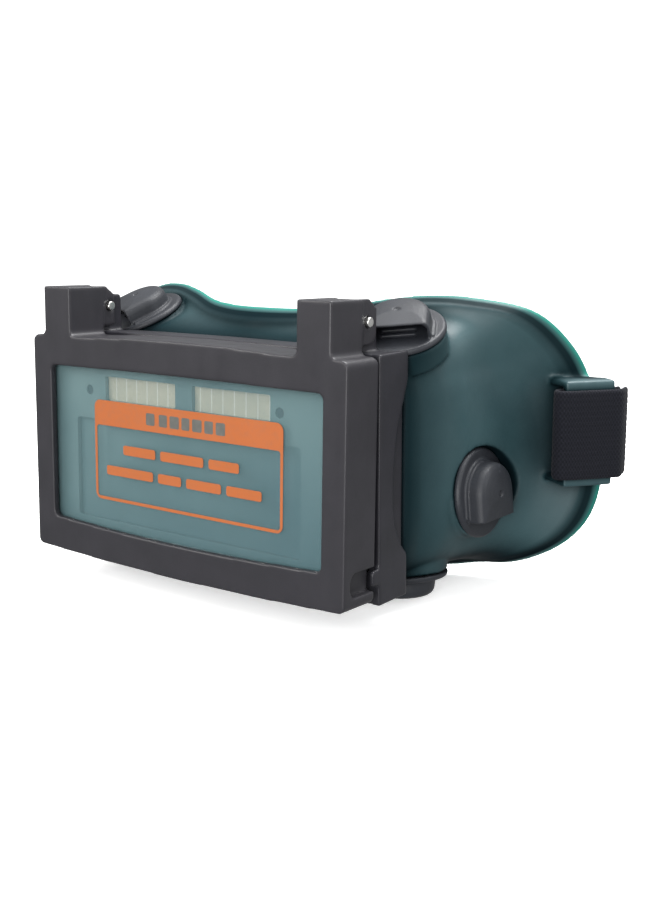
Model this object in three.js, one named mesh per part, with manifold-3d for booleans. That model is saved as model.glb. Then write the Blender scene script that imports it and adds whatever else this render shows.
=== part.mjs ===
// Lift-front welding goggles: a soft mask with six covered vents, a rigid lens holder, and a filter frame
// hinged along its top edge. Millimetres, +Z up, +Y towards the wearer's face, +X to the wearer's left.
//
// Every piece is drawn in "bench" coordinates: y = 0 is the front face of the shut filter frame and z = 0 is
// that frame's bottom edge. The last lines move the whole object so that its origin is the middle of the
// bottom of its bounding box.
import * as THREE from 'three';
import { mergeVertices } from 'three/addons/utils/BufferGeometryUtils.js';
import Module from 'manifold-3d';

const wasm = await Module();
wasm.setup();

// ---------------------------------------------------------------- driving dimensions
const GAP = 0.3; // clearance between pieces that touch

const FILTER = { width: 108, height: 51, centreZ: 33 }; // the standard cartridge size
const SHUT_GAP = 0.9; // between the filter frame and the holder when shut
const REST_TILT = 1.7; // degrees that the filter frame stands open

const FRAME = { halfWidth: 58.7, height: 65, depth: 13.8, corner: 2, bowTop: 1.2, bowBottom: 1.3, plate: 2.3 };
const WINDOW = { halfWidth: 51.1, low: 9.8, high: 56.2, corner: 1.8, bowTop: 0.3, bowBottom: 1.4 };
const POST = {
  inner: 42.4, outer: 53.5, top: 79.5, fillet: 1.6, lugDepth: 6.8, lugLow: 67.3, lugInset: 0.4, lugRound: 3.6,
  lugChamfer: [3.4, 2.5], innerRear: 18.7, cheek: 1.7, slotRadius: 7.5,
};
const PIN = { y: 16.7, z: 73.5, radius: 1.35, proud: 0.4, play: 0.08 };
const NOTCH = { front: 3.2, low: 3.4, high: 10, corner: 2.4, depth: 2.4 };

const HOLDER = {
  front: FRAME.depth + SHUT_GAP, rear: 28, halfWidth: 56.6, sideRib: 1.6, low: -1.7, high: 65.5, corner: 2,
  lipRear: 23, seatHigh: 61.4, seatLow: 0.6,
  ledge: 18.9, ledgeDepth: 1.9, sightHalfWidth: 50.5, sightLow: 11, sightHigh: 55, sleeveRear: 34.5,
  sleeveCorner: 15,
};
const EAR = { inset: 0.35, front: 12.9, rear: HOLDER.lipRear, top: 76.7, low: 71.2, slope: 74.9, corner: 0.8 };
const TONGUE = { front: 11.7, low: 4.3, high: 8.6, corner: 1 }; // reaches into the filter frame's notch

const MASK = {
  centreZ: 32.2, neckY: 28.3, neckHalfWidth: 57.2, neckHalfHeight: 32, neckPower: 7, wall: 2.2,
  turns: 56,
};
// Half of the face rim, from the brow to the nose: x, y, z of its outer edge.
const RIM = [
  [0, 38, 73.6], [22, 43, 74.1], [37, 49.5, 76.9], [49, 55, 78.1], [61, 59.5, 77.4], [74, 67, 74],
  [81, 77, 64.3], [84.1, 83, 54.5], [87.4, 86, 38], [87.6, 86, 21], [84.2, 85, 10.6], [77, 83, 2.5],
  [64.2, 80, -4], [53.3, 77, -5.4], [43, 72, -6.8], [32, 65, -5.5], [21, 55, 1.5], [11, 47, 9.5], [0, 44, 12.5],
];
// How the wall runs from the neck (0, 0) to the crease of the rim (1, 1): depth share, spread share.
const SIDE_RUN = [[0, 0], [0.135, 0.01], [0.22, 0.1], [0.31, 0.19], [0.51, 0.25], [0.72, 0.36], [0.865, 0.55],
  [0.952, 0.79], [1, 1]];
const PLAIN_RUN = [[0, 0], [0.12, 0.16], [0.3, 0.3], [0.5, 0.42], [0.72, 0.56], [0.865, 0.7], [0.952, 0.86], [1, 1]];

const VENT = {
  flangeRadius: 13, flange: 1.6, flangeSlope: 0.5, reach: 7.2, hoodWall: 0.9, lipWall: 0.6,
  spigot: 7.6, spigotWall: 1.3, spigotDepth: 4.2, ringOuter: 11.4, ring: 1.4,
  seatRadius: 12.8, seatDepth: 7, collarRadius: 14.4,
};
// The hood: how wide it is, from its middle line, at each height above the seat.
const HOOD = [[9.1, 0.8], [9, 4.8], [8.5, 6], [7.4, 6.8], [5, 7.35], [2, 7.6]];
const HOOD_TOP = 7.6;
const LIP = { height: 6.6, slopeFrom: 1 }; // the hood's top slopes down from here to its mouth's lip
const SLIT = { width: 1.3, length: 9.4, pitch: 3, count: 4 };
// Seats of the right-hand vents: centre of the seat, outward direction, and where the hood's mouth looks.
const VENT_SEATS = {
  top: { at: [49.2, 37.3, 68.8], out: [0.114, -0.404, 0.908], mouth: [0.45, -0.89, 0] },
  side: { at: [63.6, 57, 22.2], out: [0.995, -0.025, 0.095], mouth: [0, 0, -1] },
  bottom: { at: [45, 46.5, -1.9], out: [0.1, -0.06, -0.993], mouth: [-0.5, 0.87, 0] },
};

const LUG = { front: [83.6, 69.4], rear: [93.1, 80.9], thick: 2.4, low: 24.2, high: 54.6, web: 2 };
const STRAP = {
  width: 25.6, thick: 1.6, midZ: 39.35, drop: 3.5, dropFrom: 84, dropTo: 102, sag: 6, reach: 178, sections: 110,
};
const SLIDER = { height: 31, length: 12, bar: 1.4, thick: 8.8, along: 20, play: 0.8 };

// ---------------------------------------------------------------- solids and booleans
function solid(geometry) {
  const bare = geometry.clone();
  bare.deleteAttribute('normal');
  bare.deleteAttribute('uv');
  const merged = mergeVertices(bare, 1e-4);
  const vertProperties = new Float32Array(merged.attributes.position.array);
  const triVerts = new Uint32Array(merged.index.array);
  return new wasm.Manifold(new wasm.Mesh({ numProp: 3, vertProperties, triVerts }));
}

function geometryOf(manifold) {
  const mesh = manifold.getMesh();
  const geometry = new THREE.BufferGeometry();
  geometry.setAttribute('position', new THREE.BufferAttribute(new Float32Array(mesh.vertProperties), 3));
  geometry.setIndex(Array.from(mesh.triVerts));
  geometry.computeVertexNormals();
  return geometry;
}

// ---------------------------------------------------------------- outlines
function roundedBox(x0, x1, y0, y1, r) {
  const s = new THREE.Shape();
  s.moveTo(x0 + r, y0);
  s.lineTo(x1 - r, y0);
  s.absarc(x1 - r, y0 + r, r, -Math.PI / 2, 0);
  s.lineTo(x1, y1 - r);
  s.absarc(x1 - r, y1 - r, r, 0, Math.PI / 2);
  s.lineTo(x0 + r, y1);
  s.absarc(x0 + r, y1 - r, r, Math.PI / 2, Math.PI);
  s.lineTo(x0, y0 + r);
  s.absarc(x0 + r, y0 + r, r, Math.PI, 1.5 * Math.PI);
  return s;
}

// A rounded rectangle whose long edges bow outwards a little.
function bowedBox(half, low, high, r, bowLow, bowHigh) {
  const s = new THREE.Shape();
  s.moveTo(-half + r, low);
  s.quadraticCurveTo(0, low - 2 * bowLow, half - r, low);
  s.absarc(half - r, low + r, r, -Math.PI / 2, 0);
  s.lineTo(half, high - r);
  s.absarc(half - r, high - r, r, 0, Math.PI / 2);
  s.quadraticCurveTo(0, high + 2 * bowHigh, -half + r, high);
  s.absarc(-half + r, high - r, r, Math.PI / 2, Math.PI);
  s.lineTo(-half, low + r);
  s.absarc(-half + r, low + r, r, Math.PI, 1.5 * Math.PI);
  return s;
}

function polygon(points) {
  return new THREE.Shape(points.map(([a, b]) => new THREE.Vector2(a, b)));
}

function cartridgeBox(margin, r = 1) {
  const half = FILTER.width / 2 + margin;
  const tall = FILTER.height / 2 + margin;
  return roundedBox(-half, half, FILTER.centreZ - tall, FILTER.centreZ + tall, r);
}

// ---------------------------------------------------------------- slabs
const SEGMENTS = 4;

// An outline drawn in x and z, made thick from y = a to y = b.
function slabY(shape, a, b, curveSegments = SEGMENTS) {
  const g = new THREE.ExtrudeGeometry(shape, { depth: b - a, bevelEnabled: false, curveSegments });
  g.rotateX(Math.PI / 2);
  g.translate(0, b, 0);
  return g;
}

// An outline drawn in y and z, made thick from x = a to x = b.
function slabX(shape, a, b, curveSegments = SEGMENTS) {
  const g = new THREE.ExtrudeGeometry(shape, { depth: b - a, bevelEnabled: false, curveSegments });
  const basis = new THREE.Matrix4().makeBasis(
    new THREE.Vector3(0, 1, 0), new THREE.Vector3(0, 0, 1), new THREE.Vector3(1, 0, 0));
  g.applyMatrix4(basis);
  g.translate(a, 0, 0);
  return g;
}

// A round bar along x.
function barX(radius, a, b, y, z, segments = 24) {
  const g = new THREE.CylinderGeometry(radius, radius, b - a, segments);
  g.rotateZ(Math.PI / 2);
  g.translate((a + b) / 2, y, z);
  return g;
}

function joinAll(geometries) {
  return geometries.map(solid).reduce((whole, next) => whole.add(next));
}

function cutAll(start, geometries) {
  return geometries.map(solid).reduce((whole, next) => whole.subtract(next), start);
}

// The biggest of a solid's separate bodies: the rest are crumbs that a cut has left.
function largest(manifold) {
  return manifold.decompose().reduce((best, next) => (next.volume() > best.volume() ? next : best));
}

const SIDES = [-1, 1];

// The same span of x on the left (side -1) or the right (side 1).
function spanX(side, inner, outer) {
  return side > 0 ? [inner, outer] : [-outer, -inner];
}

// ---------------------------------------------------------------- the filter frame
// Front view of the frame with its two hinge posts, as one outline.
function frameOutline() {
  const { halfWidth: w, height: h, corner: r, bowTop, bowBottom } = FRAME;
  const { inner, outer, top, fillet: f } = POST;
  const s = new THREE.Shape();
  s.moveTo(-w + r, 0);
  s.quadraticCurveTo(0, -2 * bowBottom, w - r, 0);
  s.absarc(w - r, r, r, -Math.PI / 2, 0);
  s.lineTo(w, h - r);
  s.absarc(w - r, h - r, r, 0, Math.PI / 2);
  s.lineTo(outer + f, h);
  s.absarc(outer + f, h + f, f, -Math.PI / 2, -Math.PI, true);
  s.lineTo(outer, top);
  s.lineTo(inner, top);
  s.lineTo(inner, h + f);
  s.absarc(inner - f, h + f, f, 0, -Math.PI / 2, true);
  s.quadraticCurveTo(0, h + 2 * bowTop, -inner + f, h);
  s.absarc(-inner + f, h + f, f, -Math.PI / 2, -Math.PI, true);
  s.lineTo(-inner, top);
  s.lineTo(-outer, top);
  s.lineTo(-outer, h + f);
  s.absarc(-outer - f, h + f, f, 0, -Math.PI / 2, true);
  s.lineTo(-w + r, h);
  s.absarc(-w + r, h - r, r, Math.PI / 2, Math.PI);
  s.lineTo(-w, r);
  s.absarc(-w + r, r, r, Math.PI, 1.5 * Math.PI);
  return s;
}

// Side view of the hinge lug behind each post: rounded below, chamfered above.
function lugOutline() {
  const front = FRAME.depth - 2;
  const rear = FRAME.depth + POST.lugDepth;
  const round = POST.lugRound;
  const [chamferDepth, chamferHeight] = POST.lugChamfer;
  const s = new THREE.Shape();
  s.moveTo(front, POST.lugLow);
  s.lineTo(rear - round, POST.lugLow);
  s.absarc(rear - round, POST.lugLow + round, round, -Math.PI / 2, 0);
  s.lineTo(rear, POST.top - chamferHeight);
  s.lineTo(rear - chamferDepth, POST.top);
  s.lineTo(front, POST.top);
  return s;
}

// Side view of what is cut from the back of each lug's inner cheek, which is the shallower one.
function innerCheekTrim() {
  const { innerRear, top, lugLow, lugChamfer: [depth, height] } = POST;
  const beyond = FRAME.depth + POST.lugDepth + 1;
  return polygon([[innerRear, lugLow - 1], [beyond, lugLow - 1], [beyond, top + 1], [innerRear - depth, top + 1],
    [innerRear - depth, top], [innerRear, top - height]]);
}

function flipFrame() {
  const parts = [slabY(frameOutline(), 0, FRAME.depth)];
  const cuts = [
    slabY(bowedBox(WINDOW.halfWidth, WINDOW.low, WINDOW.high, WINDOW.corner, WINDOW.bowBottom, WINDOW.bowTop),
      -1, FRAME.plate + 1),
    slabY(cartridgeBox(GAP), FRAME.plate, FRAME.depth + 1),
  ];
  for (const side of SIDES) {
    parts.push(slabX(lugOutline(), ...spanX(side, POST.inner + POST.lugInset, POST.outer - POST.lugInset)));
    const slot = spanX(side, POST.inner + POST.cheek, POST.outer - POST.cheek);
    cuts.push(barX(POST.slotRadius, ...slot, PIN.y, PIN.z, 36));
    cuts.push(barX(PIN.radius + PIN.play, ...spanX(side, POST.inner - 1, POST.outer + 1), PIN.y, PIN.z));
    cuts.push(slabX(innerCheekTrim(), ...spanX(side, POST.inner - 1, POST.inner + POST.cheek + GAP)));
    const notch = roundedBox(NOTCH.front, FRAME.depth + 4, NOTCH.low, NOTCH.high, NOTCH.corner);
    cuts.push(slabX(notch, ...spanX(side, FRAME.halfWidth - NOTCH.depth, FRAME.halfWidth + 1)));
  }
  return geometryOf(cutAll(joinAll(parts), cuts));
}

// ---------------------------------------------------------------- the filter cartridge, front to back
const LAYER = {
  film: [2.5, 2.7], cover: [3, 4], case: [4.3, 10.4], caseFace: 1.2, cell: [5.8, 6.5], sensor: [4.7, 6.6],
  shutter: [5.8, 7.8], board: [6.9, 8], back: [8.3, 10.1], retainer: [10.7, 12.6],
};
const CELLS = { low: 46.7, high: 53.8, spans: [[-32.1, -3.9], [2.5, 30.7]], lap: 0.9 };
const SENSORS = { x: [-38.8, 33.9], z: 49.3, radius: 1.3 };
const SIGHT = { left: -44.6, right: 41.2, low: 10.6, high: 40.8, lap: 1.6 };

function plainSheet(margin, [front, back]) {
  return slabY(cartridgeBox(margin), front, back);
}

function filterCase() {
  const [front, back] = LAYER.case;
  const face = front + LAYER.caseFace;
  const cuts = [
    slabY(cartridgeBox(-1.4), face, back + 1),
    slabY(roundedBox(SIGHT.left, SIGHT.right, SIGHT.low, SIGHT.high, 1.2), front - 1, face + 1),
  ];
  for (const [x0, x1] of CELLS.spans) {
    cuts.push(slabY(roundedBox(x0, x1, CELLS.low, CELLS.high, 0.5), front - 1, face + 1));
  }
  for (const x of SENSORS.x) {
    cuts.push(sensorRod(x, SENSORS.radius + 0.2, front - 1, face + 1));
  }
  return geometryOf(cutAll(solid(slabY(cartridgeBox(0), front, back)), cuts));
}

function sensorRod(x, radius, front, back) {
  const g = new THREE.CylinderGeometry(radius, radius, back - front, 12);
  g.translate(x, (front + back) / 2, SENSORS.z);
  return g;
}

function solarCell([x0, x1]) {
  return slabY(roundedBox(x0 - CELLS.lap, x1 + CELLS.lap, CELLS.low - CELLS.lap, CELLS.high + CELLS.lap, 0.4),
    ...LAYER.cell);
}

function shutterGlass() {
  const { left, right, low, high, lap } = SIGHT;
  return slabY(roundedBox(left - lap, right + lap, low - lap, high + lap, 0.6), ...LAYER.shutter);
}

function filterBoard() {
  return slabY(roundedBox(-50, 50, 44.6, 56.6, 0.8), ...LAYER.board);
}

function filterBack() {
  const cover = solid(slabY(cartridgeBox(-1.7), ...LAYER.back));
  const sight = slabY(roundedBox(SIGHT.left, SIGHT.right, SIGHT.low, SIGHT.high, 1.2), 0, FRAME.depth);
  return geometryOf(cutAll(cover, [sight]));
}

// A springy clip frame that holds the cartridge in the flip frame.
function filterRetainer() {
  const ring = solid(slabY(cartridgeBox(0), ...LAYER.retainer));
  const hole = slabY(roundedBox(-49.5, 49.5, 10.5, 55.5, 3), 0, FRAME.depth + 1);
  return geometryOf(cutAll(ring, [hole]));
}

// ---------------------------------------------------------------- the lens holder
// Side view of the rib on the holder's flank: its rear edge is scooped for the fingers.
function ribOutline() {
  const { front, rear, low, high } = HOLDER;
  const scoop = new THREE.SplineCurve([[rear, 10], [24.4, 14.5], [22, 21], [21.4, 28], [22, 37], [23.8, 46],
    [rear, 57.5]].map(([y, z]) => new THREE.Vector2(y, z)));
  const edge = scoop.getPoints(14).map((p) => [p.x, p.y]);
  return polygon([[front, low], [rear, low], ...edge, [rear, high], [front, high]]);
}

// Side view of an ear that carries a hinge pin.
function earOutline() {
  const { front, rear, top, low, slope, corner } = EAR;
  const foot = HOLDER.high - 2;
  return polygon([[HOLDER.front + 0.5, foot], [rear, foot], [rear, top - corner], [rear - corner, top],
    [HOLDER.front + GAP, top], [front, slope], [front, low]]);
}

// Side view of the tongue that reaches into the filter frame's notch.
function tongueOutline() {
  return roundedBox(TONGUE.front, HOLDER.front + 1.5, TONGUE.low, TONGUE.high, TONGUE.corner);
}

function lensHolder() {
  const { front, rear, halfWidth, sideRib, low, high, corner, ledge, ledgeDepth } = HOLDER;
  const sleeve = MASK.wall + 0.4;
  const neckLow = MASK.centreZ - MASK.neckHalfHeight;
  const neckHigh = MASK.centreZ + MASK.neckHalfHeight;
  const parts = [
    slabY(bowedBox(halfWidth, low, high, corner, 0.9, 0.8), front, HOLDER.lipRear),
    slabY(roundedBox(-halfWidth, halfWidth, HOLDER.seatLow, HOLDER.seatHigh, 6), HOLDER.lipRear - 1, rear),
    slabY(roundedBox(-MASK.neckHalfWidth + sleeve, MASK.neckHalfWidth - sleeve, neckLow + sleeve,
      neckHigh - sleeve, HOLDER.sleeveCorner), rear - 1, HOLDER.sleeveRear),
  ];
  const wall = 2;
  const cuts = [
    slabY(cartridgeBox(0.6), front - 1, ledge),
    slabY(roundedBox(-HOLDER.sightHalfWidth, HOLDER.sightHalfWidth, HOLDER.sightLow, HOLDER.sightHigh, 2),
      front, rear + 20),
    slabY(roundedBox(-MASK.neckHalfWidth + sleeve + wall, MASK.neckHalfWidth - sleeve - wall,
      neckLow + sleeve + wall, neckHigh - sleeve - wall, HOLDER.sleeveCorner - wall), ledge + ledgeDepth,
      rear + 20),
  ];
  for (const { name, seat } of VENTS) {
    if (!name.startsWith('top')) continue;
    cuts.push(onSeat(seat, VENT.flangeRadius + 0.4, -GAP, 3), onSeat(seat, VENT.ringOuter + 0.5, -6, 0));
  }
  for (const side of SIDES) {
    parts.push(slabX(ribOutline(), ...spanX(side, halfWidth - 1, halfWidth + sideRib), 10));
    const ear = spanX(side, POST.inner + POST.cheek + EAR.inset, POST.outer - POST.cheek - EAR.inset);
    parts.push(slabX(earOutline(), ...ear));
    parts.push(slabX(tongueOutline(), ...spanX(side, halfWidth + 0.3, halfWidth + sideRib)));
    cuts.push(barX(PIN.radius + PIN.play, ...spanX(side, POST.inner, POST.outer), PIN.y, PIN.z));
  }
  return geometryOf(cutAll(joinAll(parts), cuts));
}

function framedSheet(margin, border, front, back) {
  const sheet = solid(slabY(cartridgeBox(margin), front, back));
  const half = FILTER.width / 2 + margin - border;
  const tall = FILTER.height / 2 + margin - border;
  const hole = roundedBox(-half, half, FILTER.centreZ - tall, FILTER.centreZ + tall, 1.5);
  return geometryOf(cutAll(sheet, [slabY(hole, front - 1, back + 1)]));
}

function hingePin(side) {
  return barX(PIN.radius, ...spanX(side, POST.inner - PIN.proud, POST.outer + PIN.proud), PIN.y, PIN.z);
}

// ---------------------------------------------------------------- the mask
// The rim as smooth functions of the angle round the wearer's line of sight.
const rimCurve = new THREE.CatmullRomCurve3(
  [...RIM, ...RIM.slice(1, -1).reverse().map(([x, y, z]) => [-x, y, z])].map((p) => new THREE.Vector3(...p)),
  true, 'centripetal');
const rimSamples = rimCurve.getPoints(900).map((p) => {
  const up = p.z - MASK.centreZ;
  return { angle: Math.atan2(up, p.x), radius: Math.hypot(p.x, up), y: p.y };
});

// The rim's radius and depth at one angle, from the nearest sampled stretch.
function rimAt(angle) {
  const turn = (a) => Math.atan2(Math.sin(a - angle), Math.cos(a - angle));
  for (let i = 1; i < rimSamples.length; i += 1) {
    const a = turn(rimSamples[i - 1].angle);
    const b = turn(rimSamples[i].angle);
    if (a >= 0 && b < 0 && a - b < 1) {
      const share = a / (a - b);
      return {
        radius: THREE.MathUtils.lerp(rimSamples[i - 1].radius, rimSamples[i].radius, share),
        y: THREE.MathUtils.lerp(rimSamples[i - 1].y, rimSamples[i].y, share),
      };
    }
  }
  return rimSamples[0];
}

function neckRadius(angle) {
  const { neckHalfWidth: a, neckHalfHeight: b, neckPower: n } = MASK;
  return (Math.abs(Math.cos(angle) / a) ** n + Math.abs(Math.sin(angle) / b) ** n) ** (-1 / n);
}

function along(run, share) {
  for (let i = 1; i < run.length; i += 1) {
    if (share <= run[i][0]) {
      const t = (share - run[i - 1][0]) / (run[i][0] - run[i - 1][0]);
      return THREE.MathUtils.lerp(run[i - 1][1], run[i][1], t);
    }
  }
  return 1;
}

// A point of the mask's outer skin: share 0 is the neck, 1 the crease, 2 the edge of the lip.
function skin(angle, share) {
  const rim = rimAt(angle);
  const neck = neckRadius(angle);
  const crease = { radius: rim.radius - 3.4, y: rim.y - 5.6 };
  const sideways = 1 - THREE.MathUtils.smoothstep(Math.abs(Math.sin(angle)), 0.36, 0.56);
  let radius;
  let y;
  if (share <= 1) {
    const spread = THREE.MathUtils.lerp(along(PLAIN_RUN, share), along(SIDE_RUN, share), sideways);
    radius = THREE.MathUtils.lerp(neck, crease.radius, spread);
    y = THREE.MathUtils.lerp(MASK.neckY, crease.y, share);
  } else {
    radius = THREE.MathUtils.lerp(crease.radius, rim.radius, share - 1);
    y = THREE.MathUtils.lerp(crease.y, rim.y, share - 1);
  }
  return new THREE.Vector3(radius * Math.cos(angle), y, MASK.centreZ + radius * Math.sin(angle));
}

// The skin moved inwards by a depth, along its own normal.
function innerSkin(angle, share, depth) {
  const step = 0.02;
  const here = skin(angle, share);
  const round = skin(angle + step, share).sub(skin(angle - step, share));
  const low = Math.max(0, share - 0.05);
  const high = Math.min(2, share + 0.05);
  const rearward = skin(angle, high).sub(skin(angle, low));
  const normal = new THREE.Vector3().crossVectors(rearward, round).normalize();
  return here.addScaledVector(normal, -depth);
}

// Closed loft through rings of points; the first and last ring are joined to each other, or capped.
function loft(rings, capped) {
  const n = rings[0].length;
  const positions = [];
  rings.forEach((ring) => ring.forEach((p) => positions.push(p.x, p.y, p.z)));
  const index = [];
  const last = capped ? rings.length - 1 : rings.length;
  for (let i = 0; i < last; i += 1) {
    const a = i * n;
    const b = ((i + 1) % rings.length) * n;
    for (let k = 0; k < n; k += 1) {
      const k2 = (k + 1) % n;
      index.push(a + k, b + k2, b + k, a + k, a + k2, b + k2);
    }
  }
  if (capped) {
    [0, rings.length - 1].forEach((ringIndex, end) => {
      const centre = positions.length / 3;
      const middle = rings[ringIndex].reduce((sum, p) => sum.add(p), new THREE.Vector3()).divideScalar(n);
      positions.push(middle.x, middle.y, middle.z);
      for (let k = 0; k < n; k += 1) {
        const a = ringIndex * n + k;
        const b = ringIndex * n + ((k + 1) % n);
        if (end === 0) index.push(centre, b, a);
        else index.push(centre, a, b);
      }
    });
  }
  const g = new THREE.BufferGeometry();
  g.setAttribute('position', new THREE.BufferAttribute(new Float32Array(positions), 3));
  g.setIndex(index);
  return g;
}

function ringAt(pointAt) {
  return Array.from({ length: MASK.turns }, (_, k) => pointAt((-2 * Math.PI * k) / MASK.turns));
}

const WALL_SHARES = [0, 0.12, 0.22, 0.33, 0.52, 0.72, 0.88, 1, 2];

function maskShell() {
  const outer = WALL_SHARES.map((share) => ringAt((a) => skin(a, share)));
  const inner = [...WALL_SHARES].reverse().map((share) => ringAt((a) => innerSkin(a, share, MASK.wall)));
  return solid(loft([...outer, ...inner], false));
}

function maskFilled() {
  return solid(loft(WALL_SHARES.map((share) => ringAt((a) => skin(a, share))), true));
}

// The room inside the mask, a little inside its wall's inner face.
function maskRoom() {
  return solid(loft(WALL_SHARES.map((share) => ringAt((a) => innerSkin(a, share, MASK.wall - 0.4))), true));
}

// A cylinder on a vent's axis, from one height above the seat to another.
function onSeat(seat, radius, low, high, segments = 24) {
  const g = new THREE.CylinderGeometry(radius, radius, high - low, segments);
  g.translate(0, (low + high) / 2, 0);
  return g.applyMatrix4(seatMatrix(seat));
}

// Takes y to the vent's outward direction and -z to its mouth's.
function seatMatrix(seat) {
  const out = new THREE.Vector3(...seat.out).normalize();
  const mouth = new THREE.Vector3(...seat.mouth);
  mouth.addScaledVector(out, -mouth.dot(out)).normalize();
  const back = mouth.clone().negate();
  const across = new THREE.Vector3().crossVectors(out, back);
  return new THREE.Matrix4().makeBasis(across, out, back).setPosition(...seat.at);
}

function mirrored(seat) {
  const flip = ([x, y, z]) => [-x, y, z];
  return { at: flip(seat.at), out: flip(seat.out), mouth: flip(seat.mouth) };
}

const VENTS = Object.entries(VENT_SEATS).flatMap(([place, seat]) => [
  { name: `${place}_left`, seat: mirrored(seat) }, { name: `${place}_right`, seat },
]);

// A strap lug: a plate standing off the wall, tied to it by a web above and one below the strap.
function strapLug(side) {
  const front = new THREE.Vector2(...LUG.front);
  const rear = new THREE.Vector2(...LUG.rear);
  const run = rear.clone().sub(front).normalize();
  const out = new THREE.Vector2(run.y, -run.x);
  const place = (p, forward, outward) => [side * (p.x + run.x * forward + out.x * outward),
    p.y + run.y * forward + out.y * outward];
  const half = LUG.thick / 2;
  const plate = [place(front, 0, -half), place(front, 0, half), place(rear, 0, half), place(rear, 0, -half)];
  const webPoints = [place(front, -1, -12), place(front, 0, half), place(rear, 0, half), place(rear, 0, -4.2),
    place(rear, -5, -9)];
  const slabZ = (points, low, high) => {
    const shape = polygon(side > 0 ? points : [...points].reverse());
    return new THREE.ExtrudeGeometry(shape, { depth: high - low, bevelEnabled: false }).translate(0, 0, low);
  };
  return joinAll([slabZ(plate, LUG.low, LUG.high), slabZ(webPoints, LUG.low, LUG.low + LUG.web),
    slabZ(webPoints, LUG.high - LUG.web, LUG.high)]);
}

// The bore of the neck, which is stretched over the holder's sleeve.
function neckBore() {
  const clear = MASK.wall + 0.1;
  const half = MASK.neckHalfWidth - clear;
  const low = MASK.centreZ - MASK.neckHalfHeight + clear;
  const high = MASK.centreZ + MASK.neckHalfHeight - clear;
  return slabY(roundedBox(-half, half, low, high, HOLDER.sleeveCorner), HOLDER.rear, HOLDER.sleeveRear + 0.5);
}

function maskBody() {
  const filled = maskFilled();
  const room = maskRoom();
  let body = maskShell();
  for (const { seat } of VENTS) {
    const pad = solid(onSeat(seat, VENT.seatRadius, -MASK.wall, 0));
    const boss = solid(onSeat(seat, VENT.seatRadius, -VENT.seatDepth, 0)).subtract(room);
    const collar = solid(onSeat(seat, VENT.collarRadius, -MASK.wall, 14)).intersect(filled);
    body = body.add(pad).add(boss).add(collar);
  }
  for (const { seat } of VENTS) {
    body = cutAll(body, [onSeat(seat, VENT.flangeRadius + GAP, -GAP, 16), onSeat(seat, VENT.spigot + GAP, -9, 2),
      onSeat(seat, VENT.ringOuter + GAP, -MASK.wall - 4, -MASK.wall + GAP)]);
  }
  for (const side of SIDES) body = body.add(strapLug(side).subtract(room));
  const aroundHolder = slabY(roundedBox(-80, 80, -20, 90, 1), 0, HOLDER.rear + 0.05);
  return geometryOf(largest(cutAll(body, [neckBore(), aroundHolder]).simplify(0.1)));
}

// ---------------------------------------------------------------- vents
// Plan of the hood, in x and the way back from the mouth: half a circle at the back, straight flanks.
function hoodPlan(half, reach, steps = 10) {
  const bend = Array.from({ length: steps + 1 }, (_, k) => (Math.PI * k) / steps);
  return [[-half, -reach], [half, -reach], ...bend.map((a) => [half * Math.cos(a), half * Math.sin(a)])];
}

// A stack of hood plans, each at its own half width and height.
function hoodStack(layers, reach) {
  return loft(layers.map(([half, height]) => hoodPlan(half, reach).reverse()
    .map(([x, back]) => new THREE.Vector3(x, height, back))), true);
}

function ventCap() {
  const { flangeRadius, flange, flangeSlope, reach, hoodWall, lipWall, spigot, spigotWall, spigotDepth } = VENT;
  const disc = new THREE.CylinderGeometry(flangeRadius - flangeSlope, flangeRadius, flange, 20);
  disc.translate(0, flange / 2, 0);
  const neck = new THREE.CylinderGeometry(spigot, spigot, spigotDepth + 1, 20);
  neck.translate(0, (1 - spigotDepth) / 2, 0);
  const above = HOOD_TOP + 2;
  const slope = polygon([[-reach - 4, LIP.height], [-reach, LIP.height], [-LIP.slopeFrom, HOOD_TOP],
    [-LIP.slopeFrom, above], [-reach - 4, above]]);
  const wedge = new THREE.ExtrudeGeometry(slope, { depth: 40, bevelEnabled: false });
  wedge.applyMatrix4(new THREE.Matrix4().makeBasis(
    new THREE.Vector3(0, 0, 1), new THREE.Vector3(0, 1, 0), new THREE.Vector3(-1, 0, 0)));
  wedge.translate(20, 0, 0);
  const inside = HOOD[0][0] - hoodWall;
  const ceiling = LIP.height - lipWall;
  const mouth = hoodStack([[inside, flange], [inside, ceiling - 1.2], [inside - 1.2, ceiling]], 20);
  const bore = new THREE.CylinderGeometry(spigot - spigotWall, spigot - spigotWall, spigotDepth + 1, 20);
  bore.translate(0, -(spigotDepth + 1) / 2 + GAP, 0);
  const slits = Array.from({ length: SLIT.count }, (_, k) => new THREE.BoxGeometry(SLIT.length, 6, SLIT.width)
    .translate(0, 1, (k - (SLIT.count - 1) / 2) * SLIT.pitch));
  return geometryOf(cutAll(joinAll([disc, neck, hoodStack(HOOD, reach)]), [mouth, wedge, bore, ...slits]));
}

function ventRing() {
  const { ringOuter, ring, spigot } = VENT;
  const inner = spigot + 0.2;
  const profile = [[inner, 0], [ringOuter, 0], [ringOuter, ring], [inner, ring], [inner, 0]];
  const g = new THREE.LatheGeometry(profile.map(([r, y]) => new THREE.Vector2(r, y)), 20);
  g.translate(0, -MASK.wall - GAP - ring, 0);
  return geometryOf(solid(g));
}

// ---------------------------------------------------------------- the head strap
// One band, drawn as its middle line in plan: from the end sewn at the right lug, round that lug, round the back
// of the head space to the left lug, round it, and back through the slider.
const WRAP = LUG.thick / 2 + STRAP.thick / 2 + 0.35;
const LUG_RUN = new THREE.Vector2(...LUG.rear).sub(new THREE.Vector2(...LUG.front));
const LUG_LENGTH = LUG_RUN.length();
LUG_RUN.normalize();

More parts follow.
